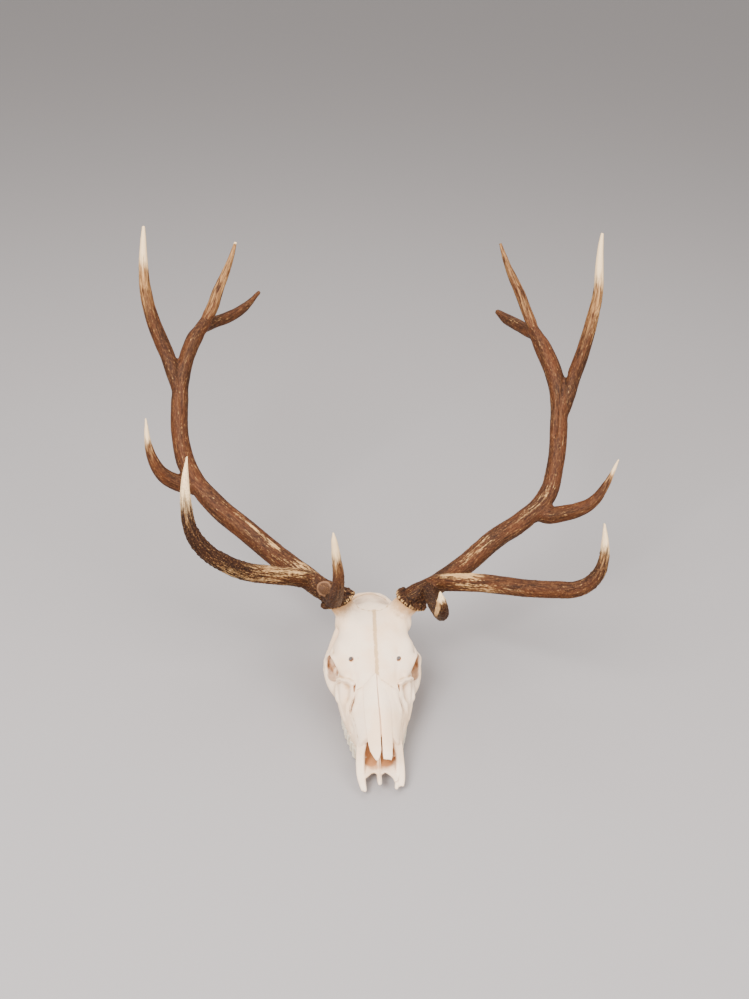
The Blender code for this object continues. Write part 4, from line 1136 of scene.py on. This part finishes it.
def add_plate(bm, outline):
    """A flat plate of an outline seen from above, added to a bmesh."""
    corners = []
    for x, y in outline:
        height = PLATE_HEIGHT + PLATE_RISE * (y - PLATE_FRONT) - PLATE_THICKNESS / 2
        corners.append(bm.verts.new(scene_point((x, y, height))))
    face = bm.faces.new(corners)
    raised = bmesh.ops.extrude_face_region(bm, geom=[face])["geom"]
    verts = [item for item in raised if isinstance(item, bmesh.types.BMVert)]
    bmesh.ops.translate(bm, vec=(0, 0, PLATE_THICKNESS * MM), verts=verts)


class ELK_OT_premaxillae(bpy.types.Operator):
    """Build the two forked bones at the tip of the snout"""
    bl_idname = "elk.premaxillae"
    bl_label = "Premaxillae"

    def execute(self, context):
        settings = context.scene.elk_bone
        material = bone_material("premaxilla_bone", settings)
        for side, name in SIDES:
            bm = bmesh.new()
            outer, inner = PREMAXILLA_BANDS[name]
            for share in BAND_SHARES:
                line = [[a + (b - a) * share for a, b in zip(*pair)] for pair in zip(outer, inner)]
                line[0][1] += BAND_NOTCH * math.sin(math.pi * share)
                add_tube(bm, mirrored(line, side))
            add_tube(bm, PRONG)
            add_plate(bm, mirrored(PREMAXILLA_PLATE[name], side))
            bone = new_object("premaxilla_bone_" + name, mesh_from(bm, "premaxilla_bone_" + name))
            fuse(bone, settings.thin_voxel / MM, 4)
            cut(bone, "middle", add_block, on_side(MIDDLE_CUTTER[0], side), MIDDLE_CUTTER[1])
            paint_bone(bone.data, [], [], [], NOSE_SHADES, OCCLUSION_SHADE_REACH["premaxilla"])
            finish_piece(bone, material, "thin_bone", "premaxilla_" + name)
        return {"FINISHED"}


def tooth_mesh(name, side, row, cusp_height):
    """A cheek tooth with its lobes, ribs, cusps and the folds between them."""
    _, middle_y, middle_x, length, width, lobes = row
    bm = bmesh.new()
    bmesh.ops.create_cube(bm, size=2.0)
    bmesh.ops.subdivide_edges(bm, edges=bm.edges[:], cuts=21, use_grid_fill=True)
    fold = bm.verts.layers.float.new("fold")
    for vert in bm.verts:
        u, v, w = vert.co
        lobe = abs(math.sin(math.pi * (u + 1) * lobes / 2))
        round_u = u * (1 - 0.16 * v * v)
        round_v = v * (1 - 0.20 * u * u)
        swell = 0.76 + 0.24 * lobe
        rib = 0.035 * math.cos(math.pi * u * lobes * 2) * abs(v)
        low = (1 - w) / 2
        taper = 1.0 - 0.10 * low ** 3
        half = width / 2 * (swell + rib) * taper
        crest = sum(rise * math.exp(-((v - place) / spread) ** 2) for place, spread, rise in CUSP_ROWS)
        height = cusp_height * (1 - min(1.0, crest) * (0.35 + 0.65 * lobe))
        top = CROWN_HEIGHT + ROOT_DEPTH
        bottom = 0.15 + height + 1.3 * max(0.0, v) ** 2
        z = bottom + (top - bottom) * (w + 1) / 2
        deep = (1 - min(1.0, crest)) * (low > 0.98)
        gum = max(0.0, 1 - abs(z - CROWN_HEIGHT * 0.72) / 5.0) * 0.55
        vert[fold] = max(deep, gum, (1 - lobe) ** 3 * 0.8 * (abs(v) > 0.95))
        vert.co = (round_v * half, round_u * length * 0.5, z)
    bmesh.ops.transform(bm, matrix=Matrix.Diagonal((side, 1, 1, 1)), verts=bm.verts)
    bmesh.ops.transform(bm, matrix=Matrix.Rotation(math.radians(-TOOTH_SPLAY * side), 4, "Z"), verts=bm.verts)
    bmesh.ops.scale(bm, vec=(MM, MM, MM), verts=bm.verts)
    bmesh.ops.translate(bm, vec=scene_point((middle_x * side, middle_y, 0)), verts=bm.verts)
    return mesh_from(bm, name)


class ELK_OT_cheek_teeth(bpy.types.Operator):
    """Build the twelve cheek teeth"""
    bl_idname = "elk.cheek_teeth"
    bl_label = "Cheek teeth"

    def execute(self, context):
        settings = context.scene.elk_teeth
        material = enamel_material("tooth_enamel", settings)
        for side, name in SIDES:
            for row in TEETH:
                title = row[0] + "_tooth_" + name
                tooth = new_object(title, tooth_mesh(title, side, row, settings.cusp_height / MM))
                finish_piece(tooth, material, "tooth_enamel", row[0] + "_" + name)
        return {"FINISHED"}


# The antlers

def centreline(points):
    """Fine samples along a branch: place, radius, distance from its start, and a frame that doesn't twist."""
    knots = [Vector(point[:3]) for point in points]
    radii = [point[3] for point in points]
    places, sizes = [], []
    for i in range(len(knots) - 1):
        before = knots[max(i - 1, 0)]
        after = knots[min(i + 2, len(knots) - 1)]
        first, second = knots[i], knots[i + 1]
        pieces = max(2, math.ceil((second - first).length / 4.0))
        for j in range(pieces):
            t = j / pieces
            bend = (2 * first + (second - before) * t + (2 * before - 5 * first + 4 * second - after) * t * t
                    + (3 * first - before - 3 * second + after) * t ** 3) / 2
            places.append(bend)
            sizes.append(radii[i] + (radii[i + 1] - radii[i]) * t)
    places.append(knots[-1])
    sizes.append(radii[-1])
    line = np.array(places)
    steps = np.linalg.norm(np.diff(line, axis=0), axis=1)
    distance = np.concatenate(([0.0], np.cumsum(steps)))
    frames = []
    across = None
    for i in range(len(line)):
        way = Vector(line[min(i + 1, len(line) - 1)] - line[max(i - 1, 0)]).normalized()
        across = way.orthogonal() if across is None else across - way * across.dot(way)
        across.normalize()
        frames.append((across.copy(), way.cross(across)))
    return line, np.array(sizes), distance, frames


def add_burr(bm, name, pearls):
    """The burr at the foot of a beam: a rough disc with rings of pearls."""
    start, way = beam_foot(name)
    across = way.orthogonal().normalized()
    disc = (BURR_RADIUS * 0.84, BURR_RADIUS * 0.84, BURR_HALF_THICKNESS)
    add_ellipsoid(bm, start + way * BURR_MIDDLE, disc, axis_turn(way))
    for ring, (height, reach, size) in enumerate(PEARL_RINGS):
        for i in range(pearls):
            wave = noise.noise(Vector((i * 1.7, ring * 5.3, start.x)))
            angle = 2 * math.pi * (i + 0.5 * (ring % 2)) / pearls + wave * 0.16
            spoke = Matrix.Rotation(angle, 3, way) @ across
            away = BURR_RADIUS * reach * BURR_SHARES[name] + wave * 1.6
            place = start + way * (height + wave * 2.4) + spoke * away
            add_ellipsoid(bm, place, (size * (1 + 0.45 * wave),) * 3, segments=10)


def antler_fields(skin, branches):
    """Each vertex's branch, its distance along it and from its tip, the way it faces, and its grain.

    Also how close the next branch is.
    """
    count = skin.count
    best = np.full(count, 1e3)
    second = np.full(count, 1e3)
    fields = {"grain": np.zeros((count, 3)), "facing": np.zeros((count, 3)), "along": np.zeros(count),
              "to_tip": np.zeros(count), "owner": np.zeros(count, dtype=int)}
    for index, points in enumerate(branches.values()):
        line, sizes, distance, frames = centreline(points)
        low, high = line.min(axis=0) - BRANCH_REACH, line.max(axis=0) + BRANCH_REACH
        near = np.flatnonzero(((skin.places > low) & (skin.places < high)).all(axis=1))
        nearest = np.full(len(near), 1e3)
        which = np.zeros(len(near), dtype=int)
        for i in range(len(line)):
            gap = np.linalg.norm(skin.places[near] - line[i], axis=1) - sizes[i]
            closer = gap < nearest
            nearest[closer] = gap[closer]
            which[closer] = i
        firsts, seconds = (np.array([tuple(pair[k]) for pair in frames])[which] for k in (0, 1))
        ways = np.cross(firsts, seconds)
        away = skin.places[near] - line[which]
        ahead = (away * ways).sum(axis=1)
        away -= ahead[:, None] * ways
        along = distance[which] + ahead
        spot = [(away * firsts).sum(axis=1) + BRANCH_SPREAD * index, (away * seconds).sum(axis=1), along]
        away /= np.maximum(np.linalg.norm(away, axis=1), 0.1)[:, None]
        win = nearest < best[near]
        second[near] = np.minimum(second[near], np.where(win, best[near], nearest))
        chosen = near[win]
        best[chosen] = nearest[win]
        found = {"grain": np.stack(spot, axis=1), "facing": away, "along": along,
                 "to_tip": distance[-1] - along, "owner": np.full(len(near), index)}
        for name, values in found.items():
            fields[name][chosen] = values[win]
    fields["crotch"] = np.exp(-(np.maximum(second, 0.0) / CROTCH_WIDTH) ** 2)
    return fields


def rubbed_and_highlight_share(fields, names, side_name):
    """How far each vertex of an antler is cream with wear and painted highlight."""
    worn = np.zeros(len(fields["along"]))
    for side, branch, start, end, way, narrow, strength in RUBBED_AND_HIGHLIGHTS:
        if side != side_name:
            continue
        middle, half = (start + end) / 2, (end - start) / 2
        share = np.clip(1.6 - 1.6 * np.abs(fields["along"] - middle) / half, 0, 1)
        share *= fields["owner"] == names.index(branch)
        if way is not None:
            turned = fields["facing"] @ np.array(Vector(way).normalized())
            share *= np.clip((turned - narrow) / ((1 - narrow) * 0.6), 0, 1)
        worn = np.maximum(worn, share * strength)
    return worn


def tips_and_roughness(fields, names, side_name):
    """How ivory, how tan and how rough each vertex of an antler is."""
    tip = np.full(len(fields["along"]), -1.0)
    warm = tip.copy()
    rough_zone = np.zeros(len(tip))
    for index, title in enumerate(names):
        mine = fields["owner"] == index
        if title in TIPS[side_name]:
            ivory, tan, *most = TIPS[side_name][title]
            tip[mine] = 1.0 - fields["to_tip"][mine] / ivory
            warm[mine] = np.minimum(1.0 - fields["to_tip"][mine] / tan, *most or (1.0,))
        table = np.array(ROUGHNESS[side_name].get(title, PLAIN_ROUGHNESS))
        rough_zone[mine] = np.interp(fields["along"][mine], table[:, 0], table[:, 1])
    return tip, warm, rough_zone


def scar_shares(skin):
    """The raised rim and the smooth inside of the round scar."""
    back = np.array(CAMERA_BACK)
    away = skin.places - SCAR[0]
    front = away @ back
    away = np.linalg.norm(away - front[:, None] * back, axis=1) / SCAR[1]
    away = np.where((np.abs(front) < SCAR_REACH) & (skin.normals @ back > 0), away, 9.0)
    return np.exp(-((away - 1.0) / 0.10) ** 2), np.clip((1.08 - away) / 0.16, 0, 1)


def grow_antler(name, settings):
    """One antler's mesh, with its branches and burr fused and their crotches smoothed."""
    bm = bmesh.new()
    for points in BRANCHES[name].values():
        add_curve(bm, points, 8)
    add_burr(bm, name, settings.pearls)
    antler = new_object("antler_" + name, mesh_from(bm, "antler_" + name))
    fuse(antler, settings.voxel / MM, 6)
    skin = Skin(antler.data)
    fields = antler_fields(skin, BRANCHES[name])
    near_burr = (fields["owner"] == 0) & (fields["along"] < 30)
    skin.even(np.where(near_burr, 0.0, fields["crotch"]), CROTCH_ROUNDS)
    skin.write()
    return antler, skin


def carve_antler(skin, name, depth):
    """The grooves, lumps, scar and fork groove of an antler, and the attributes that its material reads."""
    names = list(BRANCHES[name])
    fields = antler_fields(skin, BRANCHES[name])
    along, grain = fields["along"], fields["grain"]
    tip, warm, rough_zone = tips_and_roughness(fields, names, name)
    plain = np.clip(1.1 - np.clip(tip, 0, 1) * 1.6, 0.0, 1.0) * np.clip(fields["to_tip"] / 25.0, 0, 1)
    channels = 1.0 - np.clip(np.abs(noise_of(grain, GROOVE_GRAIN)) * 4.0, 0, 1)
    swell = noise_of(grain, SWELL_GRAIN)
    lumps = np.clip(noise_of(grain, LUMP_GRAIN), 0, 1) * rough_zone
    carve = (0.35 + 0.65 * rough_zone) * (1 - 0.6 * fields["crotch"])
    scar = np.zeros(skin.count)
    if name == "left":
        edge, inner = scar_shares(skin)
        carve = carve * (1 - inner)
        lumps = lumps * (1 - inner) + edge * 0.7 - inner * 0.35
        scar = np.clip(edge * 0.8 + inner * 0.2, 0, 1)
    points, radius, sink = FORK_GROOVES[name]
    fork = skin.weight(points, radius) * sink
    relief = -channels * depth * carve + swell * depth * 0.9 + lumps * LUMP_HEIGHT - 0.2 - fork
    skin.push(relief * plain)
    skin.write()
    rim = np.where(fields["owner"] == 0, np.clip((13.0 - along) / 9.0, 0, 1), 0.0)
    skin.store(grain=grain * MM, tip=np.clip(tip, -1, 1), warm=np.clip(warm, -1, 1), rim=rim,
               rough_zone=rough_zone, hollow=skin.hollow(8, 0.7), worn=rubbed_and_highlight_share(fields, names, name),
               scar=scar)


class ELK_OT_antlers(bpy.types.Operator):
    """Build both antlers: beam, burr and tines grown together, then grooved and pearled"""
    bl_idname = "elk.antlers"
    bl_label = "Antlers"

    def execute(self, context):
        settings = context.scene.elk_antler
        material = antler_material("antler", settings)
        for _, name in SIDES:
            antler, skin = grow_antler(name, settings)
            carve_antler(skin, name, settings.groove_depth / MM)
            nodes = [title + "_" + name for title in BRANCHES[name]]
            finish_piece(antler, material, "antler_beam", *nodes)
        return {"FINISHED"}


class ELK_OT_stage(bpy.types.Operator):
    """Lay the plain floor, and set up the soft lights and the camera"""
    bl_idname = "elk.stage"
    bl_label = "Floor, light and camera"

    def execute(self, context):
        settings = context.scene.elk_stage
        scene = context.scene
        bm = bmesh.new()
        bmesh.ops.create_grid(bm, x_segments=1, y_segments=1, size=FLOOR_HALF)
        floor = new_object("floor", mesh_from(bm, "floor"))
        floor.data.materials.append(plain_material("floor", settings.floor, 0.9))
        world = bpy.data.worlds.new("even_light")
        world.use_nodes = True
        sky = world.node_tree.nodes["Background"]
        sky.inputs["Color"].default_value = (1.0, 0.98, 0.96, 1.0)
        sky.inputs["Strength"].default_value = settings.sky_strength
        scene.world = world
        for name, place, width in LIGHTS:
            lamp = bpy.data.lights.new(name + "_light", "AREA")
            lamp.shape = "SQUARE"
            lamp.size = width
            lamp.energy = getattr(settings, name + "_power")
            holder = new_object(name + "_light", lamp)
            holder.location = place
            aim = Vector(LIGHT_TARGET) - Vector(place)
            holder.rotation_euler = aim.to_track_quat("-Z", "Y").to_euler()
        camera = bpy.data.cameras.new("camera")
        camera.sensor_fit = "VERTICAL"
        camera.sensor_height = CAMERA_SENSOR
        camera.lens = CAMERA_LENS
        camera.clip_end = FLOOR_HALF
        camera.dof.use_dof = False
        viewer = new_object("camera", camera)
        turn = Matrix((CAMERA_RIGHT, CAMERA_UP, CAMERA_BACK)).transposed().to_4x4()
        viewer.matrix_world = Matrix.Translation(scene_point(CAMERA_PLACE)) @ turn
        scene.camera = viewer
        return {"FINISHED"}


class ELK_PT_panel(bpy.types.Panel):
    """Lists the pieces and their settings"""
    bl_idname = "ELK_PT_panel"
    bl_label = "Elk skull"
    bl_space_type = "VIEW_3D"
    bl_region_type = "UI"
    bl_category = "Elk skull"

    def draw(self, context):
        for step in STEPS:
            self.layout.operator(step.bl_idname)
        for group in GROUPS:
            settings = getattr(context.scene, group)
            for name in settings.bl_rna.properties.keys():
                if name not in ("rna_type", "name"):
                    self.layout.prop(settings, name)


GROUPS = {"elk_bone": BoneSettings, "elk_antler": AntlerSettings, "elk_teeth": ToothSettings,
          "elk_stage": StageSettings}
STEPS = (ELK_OT_stage, ELK_OT_skull, ELK_OT_nasal_bones, ELK_OT_premaxillae, ELK_OT_cheek_teeth,
         ELK_OT_antlers)


def register():
    for kind in (*GROUPS.values(), *STEPS, ELK_PT_panel):
        bpy.utils.register_class(kind)
    for name, kind in GROUPS.items():
        setattr(bpy.types.Scene, name, PointerProperty(type=kind))


def unregister():
    for name in GROUPS:
        delattr(bpy.types.Scene, name)
    for kind in (ELK_PT_panel, *STEPS, *GROUPS.values()):
        bpy.utils.unregister_class(kind)


def main():
    register()
    for step in STEPS:
        family, name = step.bl_idname.split(".")
        getattr(getattr(bpy.ops, family), name)()


if __name__ == "__main__":
    main()
